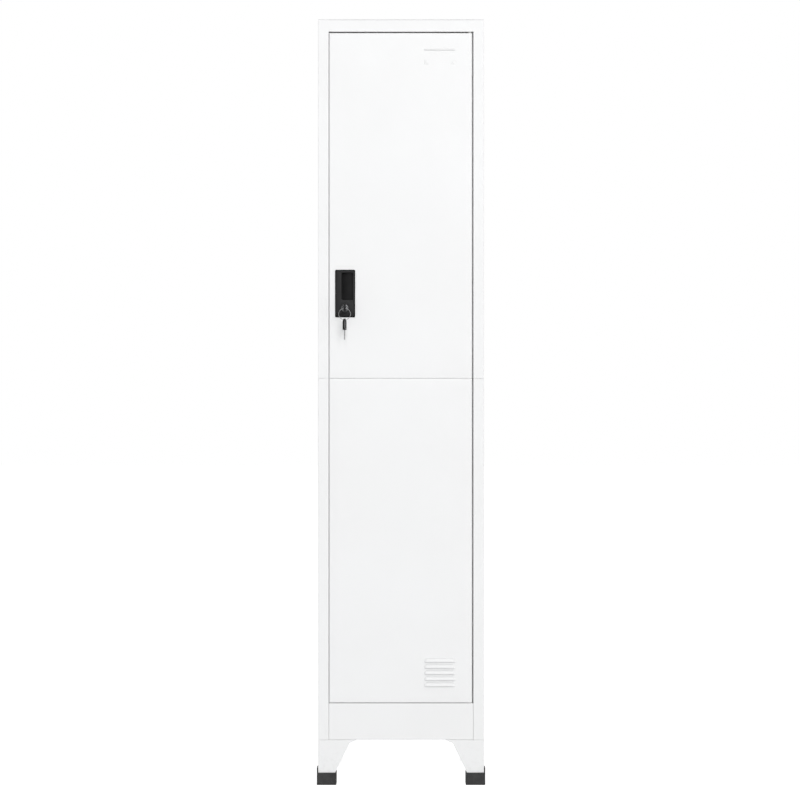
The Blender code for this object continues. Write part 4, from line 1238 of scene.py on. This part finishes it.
class LOCKER_OT_lock_housing(bpy.types.Operator):
    """Mould the lock housing with its finger pocket"""

    bl_idname = "locker.lock_housing"
    bl_label = "Lock Housing"

    def execute(self, context):
        lock = context.scene.locker_lock
        low, high = HOUSING_LOW, HOUSING_HIGH
        front = FRONT - lock.proud
        bm = bmesh.new()
        sections = []
        for a in quarter():
            inset = lock.rim + lock.edge * (1 - math.sin(a))
            sections.append((inset, lock.edge * (1 - math.cos(a))))
        sections.append((lock.rim, lock.step))
        rounding = lock.edge * 0.6
        for a in quarter():
            depth = lock.step + rounding * (1 - math.cos(a))
            sections.append((rounding * (1 - math.sin(a)), depth))
        sections.append((0.0, lock.proud))
        rings = []
        for inset, depth in sections:
            corners = (low.x + inset, low.z + inset), (high.x - inset, high.z - inset)
            outline = rounded_outline(*corners, lock.corner - inset * 0.5)
            rings.append([(x, front + depth, z) for x, z in outline])
        skin(bm, rings)
        housing = to_object("lock_housing_moulding", bm, "housing_plastic", 35)

        bm = bmesh.new()
        side = lock.side_rim + FIT
        end = lock.end_rim + FIT
        body_low = (low.x + side, FRONT - lock.proud / 2, low.z + end)
        body_high = (high.x - side, FRONT + lock.depth, high.z - end)
        add_box(bm, body_low, body_high)
        cut(housing, bm, "UNION")

        self.cut_pocket(housing, lock)
        bm = bmesh.new()
        lathe(bm, [(0, -0.05), (lock.bore, -0.05), (lock.bore, 0.05), (0, 0.05)], 64, closed=False)
        bm.transform(set_frame((LOCK_X, FRONT, LOCK_Z), X_AXIS, -Z_AXIS))
        cut(housing, bm)
        bm = bmesh.new()
        for height in GROOVE_HEIGHTS:
            start = low.z + height
            add_box(
                bm,
                (low.x - 0.001, front - 0.001, start),
                (high.x + 0.001, front + lock.groove, start + lock.groove),
            )
        cut(housing, bm)
        # paints shade on the rim, the grooves and the pocket's steep walls
        self.paint_recess_shade(housing, lock)
        smooth(housing, 30)
        soften(housing, 0.00022, 2, 40)
        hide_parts("lock_housing")
        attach(housing, "door")
        return {"FINISHED"}

    def paint_recess_shade(self, housing, lock):
        """Painted shade: the rim, the grooves and the pocket's left and top walls get the darker,
        matt copy of the housing's black.
        """
        housing.data.materials.append(finish("housing_painted_shade"))
        low, high = HOUSING_LOW, HOUSING_HIGH
        front = FRONT - lock.proud
        pocket_left = low.x + lock.pocket_left
        grooves_top = low.z + GROOVE_HEIGHTS[-1] + lock.groove + 0.0002
        for face in housing.data.polygons:
            x, y, z = face.center
            outside = min(x - low.x, high.x - x, z - low.z, high.z - z) < lock.rim
            groove = front + 0.0002 < y and z < grooves_top and abs(face.normal.z) < 0.5
            inside = y > front + 0.001 and x > pocket_left - 0.001 and z > LOCK_Z + lock.bore
            steep = face.normal.x > 0.6 or face.normal.z < -0.6
            if outside or groove or (inside and steep):
                face.material_index = 1

    def cut_pocket(self, housing, lock):
        """The pocket's floor slopes from deep at the left to shallow at the right."""
        left = HOUSING_LOW.x + lock.pocket_left
        right = left + lock.pocket_width
        top = HOUSING_HIGH.z - lock.pocket_top
        bottom = top - lock.pocket_height
        mouth = 0.0009
        foot = 0.002
        wall_share = 0.80

        def loop(inset, share):
            corners = (left + inset, bottom + inset), (right - inset, top - inset)
            made = []
            for x, z in rounded_outline(*corners, 0.0025 - inset * 0.3, 8):
                along = (x - left) / (right - left)
                floor = lock.pocket_deep + (lock.pocket_shallow - lock.pocket_deep) * along
                made.append((x, FRONT - lock.proud + (floor + lock.proud) * share, z))
            return made

        bm = bmesh.new()
        rings = [[(x, y - 0.002, z) for x, y, z in loop(-mouth, 0.0)]]
        for a in quarter():
            inward = mouth * (1 - math.cos(a))
            step = loop(-mouth * (1 - math.sin(a)), 0.0)
            rings.append([(x, y + inward, z) for x, y, z in step])
        for a in quarter():
            share = wall_share + (1 - wall_share) * math.sin(a)
            rings.append(loop(foot * (1 - math.cos(a)), share))
        skin(bm, rings)
        cut(housing, bm)


class LOCKER_OT_lock_cylinder(bpy.types.Operator):
    """Turn the lock cylinder and plug, and finish the cam, nuts and clamp"""

    bl_idname = "locker.lock_cylinder"
    bl_label = "Lock Cylinder"

    def execute(self, context):
        plug_low, plug_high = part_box("lock_plug")
        key_low, key_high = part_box("key_blade")
        outer = (BARREL_HIGH.x - BARREL_LOW.x) / 2
        plug = (plug_high.x - plug_low.x) / 2
        bore = plug + FIT
        face = BARREL_LOW.y
        length = BARREL_HIGH.y - face
        neck = outer - 0.001
        seat = FRONT - context.scene.locker_lock.proud - face
        profile = [
            (bore, 0.0006),
            (bore + 0.0004, 0.0001),
            (bore + 0.0008, 0),
            (outer - 0.0012, 0),
            (outer - 0.0005, 0.0002),
            (outer - 0.0001, 0.0007),
            (outer, seat - 0.0001),
            (neck, seat),
        ]
        threads = 12
        threaded = length - seat - 0.002
        pitch = threaded / threads
        for i in range(threads):
            start = seat + 0.0015 + threaded * i / threads
            profile += [(neck, start), (neck - 0.0005, start + pitch / 2)]
        profile += [(neck - 0.0003, length), (bore, length)]
        bm = bmesh.new()
        lathe(bm, profile, 64)
        bm.transform(set_frame((LOCK_X, face, LOCK_Z), X_AXIS, -Z_AXIS))
        replaced = ["lock_barrel"]
        # the barrel gets the darker copy of plated steel, a painted dark reflection
        add_piece("lock_barrel_turned", bm, "plated_steel", "door", replaced, 30, "lock_metal_painted_dark")

        bm = bmesh.new()
        stud = 0.003
        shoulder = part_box("lock_cam")[0].y - FIT - face
        end = plug_high.y - face
        profile = [
            (0, 0),
            (plug - 0.0008, 0),
            (plug - 0.0002, 0.0002),
            (plug, 0.0008),
            (plug, shoulder),
            (stud, shoulder),
            (stud, end - 0.0005),
            (stud - 0.0005, end),
            (0, end),
        ]
        lathe(bm, profile, 64, closed=False)
        bm.transform(set_frame((LOCK_X, face, LOCK_Z), X_AXIS, -Z_AXIS))
        # the plug gets the same painted dark reflection
        turned = to_object("lock_plug_turned", bm, "lock_metal_painted_dark", 30)
        bm = bmesh.new()
        slot_low = key_low - Vector((FIT, 0.001, FIT))
        slot_high = key_high + Vector((FIT, FIT, FIT))
        add_box(bm, slot_low, slot_high)
        cut(turned, bm)
        smooth(turned, 30)
        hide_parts("lock_plug")
        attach(turned, "lock")

        dress_nodes(["lock_cam", "lock_retainer"], "zinc_steel", 0.0002)
        self.nut("barrel_nut", "door", outer - 0.0005)
        self.nut("cam_nut", "lock", CAM_NUT_BORE)
        return {"FINISHED"}

    def nut(self, name, body, bore):
        low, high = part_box(name)
        flats = min(high.x - low.x, high.z - low.z)
        bm = bmesh.new()
        hexagon_ring(bm, flats / 2, bore, high.y - low.y)
        bm.transform(set_frame((LOCK_X, low.y, LOCK_Z), Z_AXIS, X_AXIS))
        add_piece(name + "_chamfered", bm, "zinc_steel", body, [name], 25)


def hexagon_radius(apothem, angle):
    return apothem / math.cos((angle % (math.pi / 3)) - math.pi / 6)


def hexagon_ring(bm, apothem, bore, height, steps=72):
    """A nut with both faces chamfered and a plain bore."""
    corner = apothem / math.cos(math.pi / 6)
    rings = []
    cuts = ((0.0, 0.6), (0.2, 0.18), (0.35, 0.0), (0.65, 0.0), (0.8, 0.18), (1.0, 0.6))
    for share, bite in cuts:
        limit = corner - bite * (corner - apothem * 0.97)
        ring = []
        for i in range(steps):
            a = 2 * math.pi * i / steps
            r = min(hexagon_radius(apothem, a), limit)
            ring.append((r * math.cos(a), r * math.sin(a), share * height))
        rings.append(ring)
    rings += [circle(bore, height, steps), circle(bore, 0.0, steps)]
    loops = skin(bm, rings, cap_first=False, cap_last=False)
    first, last = loops[0], loops[-1]
    for i in range(steps):
        j = (i + 1) % steps
        bm.faces.new((last[i], last[j], first[j], first[i]))


# Keys


def bow_mesh(low, high, recess):
    """A flat key bow: X along the key, Y across, with a sunk grip on both sides."""
    bm = bmesh.new()
    edge = 0.0008
    half = (high[2] - low[2]) / 2
    rim = 0.0026
    sections = [(edge * (1 - math.sin(a)), -half + edge * (1 - math.cos(a))) for a in quarter()]
    sections += [(inset, -level) for inset, level in reversed(sections)]
    sections = [(rim + 0.0004, -half + recess), (rim, -half), *sections]
    sections += [(rim, half), (rim + 0.0004, half - recess)]
    rings = []
    for inset, level in sections:
        rings.append([(x, y, level) for x, y in bow_outline(low, high, inset)])
    skin(bm, rings)
    return bm


def bow_outline(low, high, inset):
    """The bow is square-shouldered at the blade and round at the far end."""
    left, right = low[0] + inset, high[0] - inset
    bottom, top = low[1] + inset, high[1] - inset
    far = (top - bottom) / 2 - 0.0003
    near = 0.0033 - inset * 0.5
    points = []
    corners = (
        (right, top, far, 0),
        (left, top, near, 90),
        (left, bottom, near, 180),
        (right, bottom, far, 270),
    )
    for x, y, radius, start in corners:
        centre_x = x - radius if x == right else x + radius
        centre_y = y - radius if y == top else y + radius
        for i in range(13):
            a = math.radians(start + 90 * i / 12)
            points.append((centre_x + radius * math.cos(a), centre_y + radius * math.sin(a)))
    return points


class LOCKER_OT_keys(bpy.types.Operator):
    """Mould the key bows, finish the blades and wind the split ring"""

    bl_idname = "locker.keys"
    bl_label = "Keys and Ring"

    def execute(self, context):
        keys = context.scene.locker_keys
        # the blades get the darker copy of plated steel, a painted dim reflection
        dress_nodes(["key_blade", "spare_key_blade"], "key_metal_painted_dim", 0.00012)
        origin = Vector((LOCK_X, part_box("key_bow")[1].y, LOCK_Z))
        self.bow("key_bow_moulded", "key_bow", "lock", origin, -Y_AXIS, Z_AXIS, keys)
        self.spare(keys)
        self.ring(keys)
        return {"FINISHED"}

    def bow(self, name, replaced, body, origin, along, across, keys):
        """The bow, with a socket that swells round the blade's shoulder and a hole for the ring."""
        low = (0, -BOW_HALF_WIDTH, -BOW_HALF_THICKNESS)
        high = (BOW_LENGTH, BOW_HALF_WIDTH, BOW_HALF_THICKNESS)
        bm = bow_mesh(low, high, keys.recess)
        bm.transform(set_frame(origin, along, across))
        obj = to_object(name, bm, "key_plastic", 30)
        bm = bmesh.new()
        outline = rounded_outline((-0.0067, -0.0028), (0.0067, 0.0028), 0.001, 4)
        rings = [[(0.0003, a * 0.97, b * 0.93) for a, b in outline]]
        rings.append([(0.0007, a, b) for a, b in outline])
        rings.append([(0.0028, a, b) for a, b in outline])
        rings.append([(0.0050, a * 0.9, b * 0.6) for a, b in outline])
        skin(bm, rings)
        bm.transform(set_frame(origin, along, across))
        cut(obj, bm, "UNION")
        bm = bmesh.new()
        hole = BOW_HOLE_RADIUS
        lathe(bm, [(0, -0.01), (hole, -0.01), (hole, 0.01), (0, 0.01)], 40, closed=False)
        bm.transform(Matrix.Translation((BOW_LENGTH - BOW_HOLE_INSET, 0, 0)))
        bm.transform(set_frame(origin, along, across))
        cut(obj, bm)
        smooth(obj, 30)
        soften(obj, 0.0002, 2, 45)
        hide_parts(replaced)
        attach(obj, body)

    def spare(self, keys):
        """The spare key hangs blade down, turned a little about the upright."""
        bow_low, bow_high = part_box("spare_key_bow")
        centre_x = (bow_low.x + bow_high.x) / 2
        centre_y = (bow_low.y + bow_high.y) / 2
        turn = math.radians(SPARE_KEY_TURN)
        origin = Vector((centre_x, centre_y, bow_high.z - BOW_LENGTH))
        across = Vector((-math.sin(turn), -math.cos(turn), 0))
        self.bow("spare_key_bow_moulded", "spare_key_bow", "spare", origin, Z_AXIS, across, keys)

    def ring(self, keys):
        centre = (RING_LOW + RING_HIGH) / 2
        radius = (RING_HIGH.z - RING_LOW.z) / 2 - 0.0008
        steps = 180
        sides = 14
        pitch = 2 * keys.wire
        path = []
        for i in range(steps + 1):
            share = i / steps
            a = 2 * math.pi * keys.turns * share + math.radians(40)
            bend = min(1.0, max(0.0, (share - 0.42) / 0.16))
            bend = bend * bend * (3 - 2 * bend)
            offset = pitch * (bend - 0.5)
            point = Vector((radius * math.cos(a), offset, radius * math.sin(a)))
            path.append((centre + point, a))
        bm = bmesh.new()
        rings = []
        for number, (point, a) in enumerate(path):
            thin = min(1.0, 0.5 + 0.25 * min(number, steps - number))
            ring = []
            for k in range(sides):
                b = 2 * math.pi * k / sides
                out = Vector((math.cos(a), 0, math.sin(a))) * math.cos(b) * keys.wire
                back = Y_AXIS * math.sin(b) * keys.wire
                ring.append(point + (out + back) * thin)
            rings.append(ring)
        skin(bm, rings)
        # the ring gets the same painted dim reflection
        add_piece("key_ring_split", bm, "plated_steel", "ring", ["key_ring"], 60, "key_metal_painted_dim")


# Fasteners


def bolt_mesh(flats, head, shank, length):
    """A flanged hexagon bolt. Its head stands on +Z and its shank points down."""
    bm = bmesh.new()
    steps = 72
    apothem = flats / 2
    corner = apothem / math.cos(math.pi / 6)
    collar = head * 0.18
    rings = []
    for radius, level in ((0.99, 0.0), (1.0, collar * 0.5), (0.97, collar)):
        rings.append([(corner * radius, level)] * steps)
    for share, bite in ((0.0, 0.0), (0.72, 0.0), (0.86, 0.45), (0.95, 0.85), (1.0, 1.0)):
        level = collar + (head - collar) * share
        limit = corner - bite * (corner - apothem * 0.93)
        ring = []
        for i in range(steps):
            a = 2 * math.pi * i / steps
            r = min(hexagon_radius(apothem, a), limit) * 0.96
            ring.append((r, level))
        rings.append(ring)
    dish = [[(apothem * 0.62, head)] * steps, [(apothem * 0.5, head - 0.0002)] * steps]
    rings += dish
    loops = []
    for ring in rings:
        points = []
        for i, (r, level) in enumerate(ring):
            a = 2 * math.pi * i / steps
            points.append((r * math.cos(a), r * math.sin(a), level))
        loops.append(points)
    skin(bm, loops)
    profile = [(0, 0.0001)]
    threads = max(4, int(length / 0.0008))
    for i in range(threads):
        level = -length * i / threads
        profile += [(shank, level), (shank * 0.84, level - length / threads / 2)]
    profile += [(shank * 0.8, -length), (0, -length)]
    lathe(bm, profile, 32, closed=False)
    return bm


def screw_mesh(flats, head, shank, length):
    """A small screw with a domed pan head, which stands on +Z."""
    bm = bmesh.new()
    radius = flats / 2 / math.cos(math.pi / 6)
    profile = [(0, 0), (radius * 0.98, 0), (radius, head * 0.25)]
    for a in quarter(6)[1:]:
        profile.append((radius * math.cos(a * 0.75), head * (0.25 + 0.75 * math.sin(a))))
    profile.append((0, head))
    lathe(bm, profile, 40, closed=False)
    profile = [(0, 0.0001)]
    threads = max(4, int(length / 0.0006))
    for i in range(threads):
        level = -length * i / threads
        profile += [(shank, level), (shank * 0.75, level - length / threads / 2)]
    profile.append((0, -length))
    lathe(bm, profile, 24, closed=False)
    return bm


class LOCKER_OT_fasteners(bpy.types.Operator):
    """Form the leg bolts, the door's joint bolts and the housing's screws"""

    bl_idname = "locker.fasteners"
    bl_label = "Fasteners"

    def execute(self, context):
        for row in ("front", "rear"):
            for side in ("left", "right"):
                for number in (1, 2):
                    name = f"leg_bolt_{row}_{side}_{number}"
                    self.bolt(name, "cabinet", LEG_BOLT, -1)
        for number in (1, 2, 3):
            self.bolt(f"door_joint_bolt_{number}", "door", JOINT_BOLT, 1)
        for end in ("lower", "upper"):
            name = f"housing_screw_{end}"
            low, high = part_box(name)
            bm = screw_mesh(*HOUSING_SCREW)
            middle = (low + high) / 2
            seat = high.y - HOUSING_SCREW[1]
            bm.transform(set_frame((middle.x, seat, middle.z), X_AXIS, -Z_AXIS))
            add_piece(name + "_turned", bm, "zinc_steel", "door", [name], 35)
        return {"FINISHED"}

    def bolt(self, name, body, size, way):
        """way is 1 where the head stands upwards and -1 where it hangs downwards."""
        low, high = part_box(name)
        middle = (low + high) / 2
        bm = bolt_mesh(*size)
        seat = high.z - size[1] if way > 0 else low.z + size[1]
        bm.transform(set_frame((middle.x, middle.y, seat), X_AXIS, way * Y_AXIS))
        add_piece(name + "_formed", bm, "zinc_steel", body, [name], 30)


# Carcass and fittings


class LOCKER_OT_carcass(bpy.types.Operator):
    """Coat the folded panels, rails, legs and plates"""

    bl_idname = "locker.carcass"
    bl_label = "Carcass"

    def execute(self, context):
        edge = context.scene.locker_paint.edge
        for names in SHEET_NODES.values():
            dress_nodes(names, "white_powder_coat", edge)
        for side, way in (("left", -1), ("right", 1)):
            self.ground_weld(f"rail_weld_{side}", way)
        return {"FINISHED"}

    def ground_weld(self, name, way):
        """The weld between the top rail and a post, filled and ground flush with the front."""
        rail_low, rail_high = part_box("top_rail")
        x = rail_high.x if way > 0 else rail_low.x
        reach = 0.0017
        low_z, high_z = rail_low.z + 0.0004, rail_high.z - 0.0004
        bm = bmesh.new()
        rings = []
        for level in spread(low_z, high_z, 0.004):
            ring = []
            for i in range(9):
                across = -1 + i / 4
                crown = 0.00003 * (1 - across * across)
                ring.append((x + reach * across, FRONT + 0.00004 - crown, level))
            root = FRONT + 0.0009
            ring += [(x + reach * 0.4, root, level), (x - reach * 0.4, root, level)]
            rings.append(ring)
        skin(bm, rings)
        add_piece(name, bm, "white_powder_coat", "cabinet", (), 50)


class LOCKER_OT_foot_caps(bpy.types.Operator):
    """Finish the ribbed foot caps"""

    bl_idname = "locker.foot_caps"
    bl_label = "Foot Caps"

    def execute(self, context):
        dress_nodes(CAP_NODES, "cap_plastic", 0.0003)
        return {"FINISHED"}


class LOCKER_OT_hinges(bpy.types.Operator):
    """Finish the hinge pins and their nylon bushes"""

    bl_idname = "locker.hinges"
    bl_label = "Hinges"

    def execute(self, context):
        dress_nodes(["hinge_pin_top", "hinge_pin_bottom"], "plated_steel", 0.00015)
        dress_nodes(["hinge_bush_top", "hinge_bush_bottom"], "nylon", 0.00015)
        return {"FINISHED"}


class LOCKER_OT_interior(bpy.types.Operator):
    """Draw the hanging rod, and finish its sockets and the shelf clips"""

    bl_idname = "locker.interior"
    bl_label = "Interior"

    def execute(self, context):
        low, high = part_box("hanging_rod")
        middle = (low + high) / 2
        radius = (high.z - low.z) / 2
        half = (high.x - low.x) / 2
        wall = 0.0012
        edge = 0.0003
        bm = bmesh.new()
        end = [
            (radius - wall, half - edge),
            (radius - wall * 0.8, half),
            (radius - edge, half),
            (radius, half - edge),
        ]
        profile = [(r, -x) for r, x in end] + list(reversed(end))
        lathe(bm, profile, 64)
        bm.transform(set_frame(middle, Y_AXIS, Z_AXIS))
        add_piece("hanging_rod_tube", bm, "plated_steel", "cabinet", ["hanging_rod"], 35)
        dress_nodes(["rod_socket_left", "rod_socket_right"], "zinc_steel", 0.0003)
        dress_nodes(CLIP_NODES, "zinc_steel", 0.0002)
        return {"FINISHED"}


class LOCKER_OT_rivets(bpy.types.Operator):
    """Set the blind rivets that hold the splice plates"""

    bl_idname = "locker.rivets"
    bl_label = "Rivets"

    def execute(self, context):
        grid = [(along, level) for along in (0.12, 0.5, 0.88) for level in (0.25, 0.75)]
        for side, outward in (("left", X_AXIS), ("right", -X_AXIS), ("back", -Y_AXIS)):
            low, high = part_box(f"splice_plate_{side}")
            size = high - low
            places = []
            for along, level in grid:
                x, y = low.x + size.x * along, low.y + size.y * along
                if side == "back":
                    y = low.y
                else:
                    x = high.x if side == "left" else low.x
                places.append((x, y, low.z + size.z * level))
            self.rivets(f"splice_rivets_{side}", places, outward)
        return {"FINISHED"}

    def rivets(self, name, places, outward):
        """Domed heads with the mandrel's small dimple."""
        bm = bmesh.new()
        for place in places:
            part = bmesh.new()
            lathe(part, RIVET_PROFILE, 32, closed=False)
            part.transform(set_frame(place, Z_AXIS, -outward.cross(Z_AXIS)))
            mesh = bpy.data.meshes.new("rivet")
            part.to_mesh(mesh)
            part.free()
            bm.from_mesh(mesh)
            bpy.data.meshes.remove(mesh)
        add_piece(name, bm, "zinc_steel", "cabinet", (), 40)


# Stage


class LOCKER_OT_stage(bpy.types.Operator):
    """Lay the floor and set the lights and the camera"""

    bl_idname = "locker.stage"
    bl_label = "Stage"

    def execute(self, context):
        stage = context.scene.locker_stage
        context.scene.view_settings.view_transform = "Standard"
        context.scene.view_settings.look = "None"
        self.floor(stage)
        self.room(context, stage)
        self.light("Front Light", (1.5, FRONT - 9.0, 5.4), (0, 0, 0.9), 6.8, stage.key)
        self.light("Right Light", (3.6, -1.2, 1.8), (0, 0, 0.95), 2.4, stage.side)
        self.light("Left Light", (-3.6, -1.8, 1.6), (0, 0, 0.95), 2.4, stage.side * 0.6)
        self.light("Top Light", (0, -0.6, 4.6), (0, 0, 1.8), 3.0, stage.top)
        data = bpy.data.cameras.new("Camera")
        data.lens = stage.lens
        camera = bpy.data.objects.new("Camera", data)
        context.scene.collection.objects.link(camera)
        camera.location = (stage.aside, FRONT - stage.distance, stage.eye)
        camera.rotation_euler = (math.radians(90), 0, 0)
        context.scene.camera = camera
        return {"FINISHED"}

    def floor(self, stage):
        bm = bmesh.new()
        half = stage.floor_size / 2
        bmesh.ops.create_grid(bm, x_segments=4, y_segments=4, size=half)
        obj = to_object("floor", bm, "floor")
        obj.location.z = CAD_BOX[0][2] - 0.0002

    def room(self, context, stage):
        """White all round where it is seen, and softer where it lights the locker."""
        world = bpy.data.worlds.new("White Room")
        world.use_nodes = True
        tree = world.node_tree
        background = tree.nodes["Background"]
        background.inputs["Color"].default_value = (1, 1, 1, 1)
        seen = node(tree, "ShaderNodeLightPath").outputs["Is Camera Ray"]
        strength = remap(tree, seen, 0.0, 1.0, stage.ambient, 1.0)
        tree.links.new(strength, background.inputs["Strength"])
        context.scene.world = world

    def light(self, name, place, target, size, power):
        data = bpy.data.lights.new(name, "AREA")
        data.shape = "SQUARE"
        data.size = size
        data.energy = power
        lamp = bpy.data.objects.new(name, data)
        bpy.context.scene.collection.objects.link(lamp)
        lamp.location = place
        aim = Vector(target) - Vector(place)
        lamp.rotation_euler = aim.to_track_quat("-Z", "Y").to_euler()


class LOCKER_PT_panel(bpy.types.Panel):
    """The locker's pieces, in the order that they are made"""

    bl_idname = "LOCKER_PT_panel"
    bl_label = "Locker Cabinet"
    bl_space_type = "VIEW_3D"
    bl_region_type = "UI"
    bl_category = "Locker"

    def draw(self, context):
        layout = self.layout
        for operator in OPERATORS:
            layout.operator(operator.bl_idname)
        for name in SETTINGS:
            settings = getattr(context.scene, name)
            box = layout.box()
            box.label(text=name.replace("locker_", "").title())
            for label in settings.__annotations__:
                box.prop(settings, label)


SETTINGS = {
    "locker_paint": LockerPaint,
    "locker_door": LockerDoor,
    "locker_lock": LockerLock,
    "locker_keys": LockerKeys,
    "locker_stage": LockerStage,
}
OPERATORS = (
    LOCKER_OT_carcass,
    LOCKER_OT_door,
    LOCKER_OT_lock_housing,
    LOCKER_OT_lock_cylinder,
    LOCKER_OT_keys,
    LOCKER_OT_hinges,
    LOCKER_OT_interior,
    LOCKER_OT_rivets,
    LOCKER_OT_fasteners,
    LOCKER_OT_foot_caps,
    LOCKER_OT_stage,
)


def register():
    for settings in SETTINGS.values():
        bpy.utils.register_class(settings)
    for name, settings in SETTINGS.items():
        setattr(bpy.types.Scene, name, bpy.props.PointerProperty(type=settings))
    for operator in OPERATORS:
        bpy.utils.register_class(operator)
    bpy.utils.register_class(LOCKER_PT_panel)


def unregister():
    bpy.utils.unregister_class(LOCKER_PT_panel)
    for operator in reversed(OPERATORS):
        bpy.utils.unregister_class(operator)
    for name, settings in SETTINGS.items():
        delattr(bpy.types.Scene, name)
        bpy.utils.unregister_class(settings)


def main():
    register()
    for operator in OPERATORS:
        group, name = operator.bl_idname.split(".")
        getattr(getattr(bpy.ops, group), name)()
    bpy.context.view_layer.update()


if __name__ == "__main__":
    main()
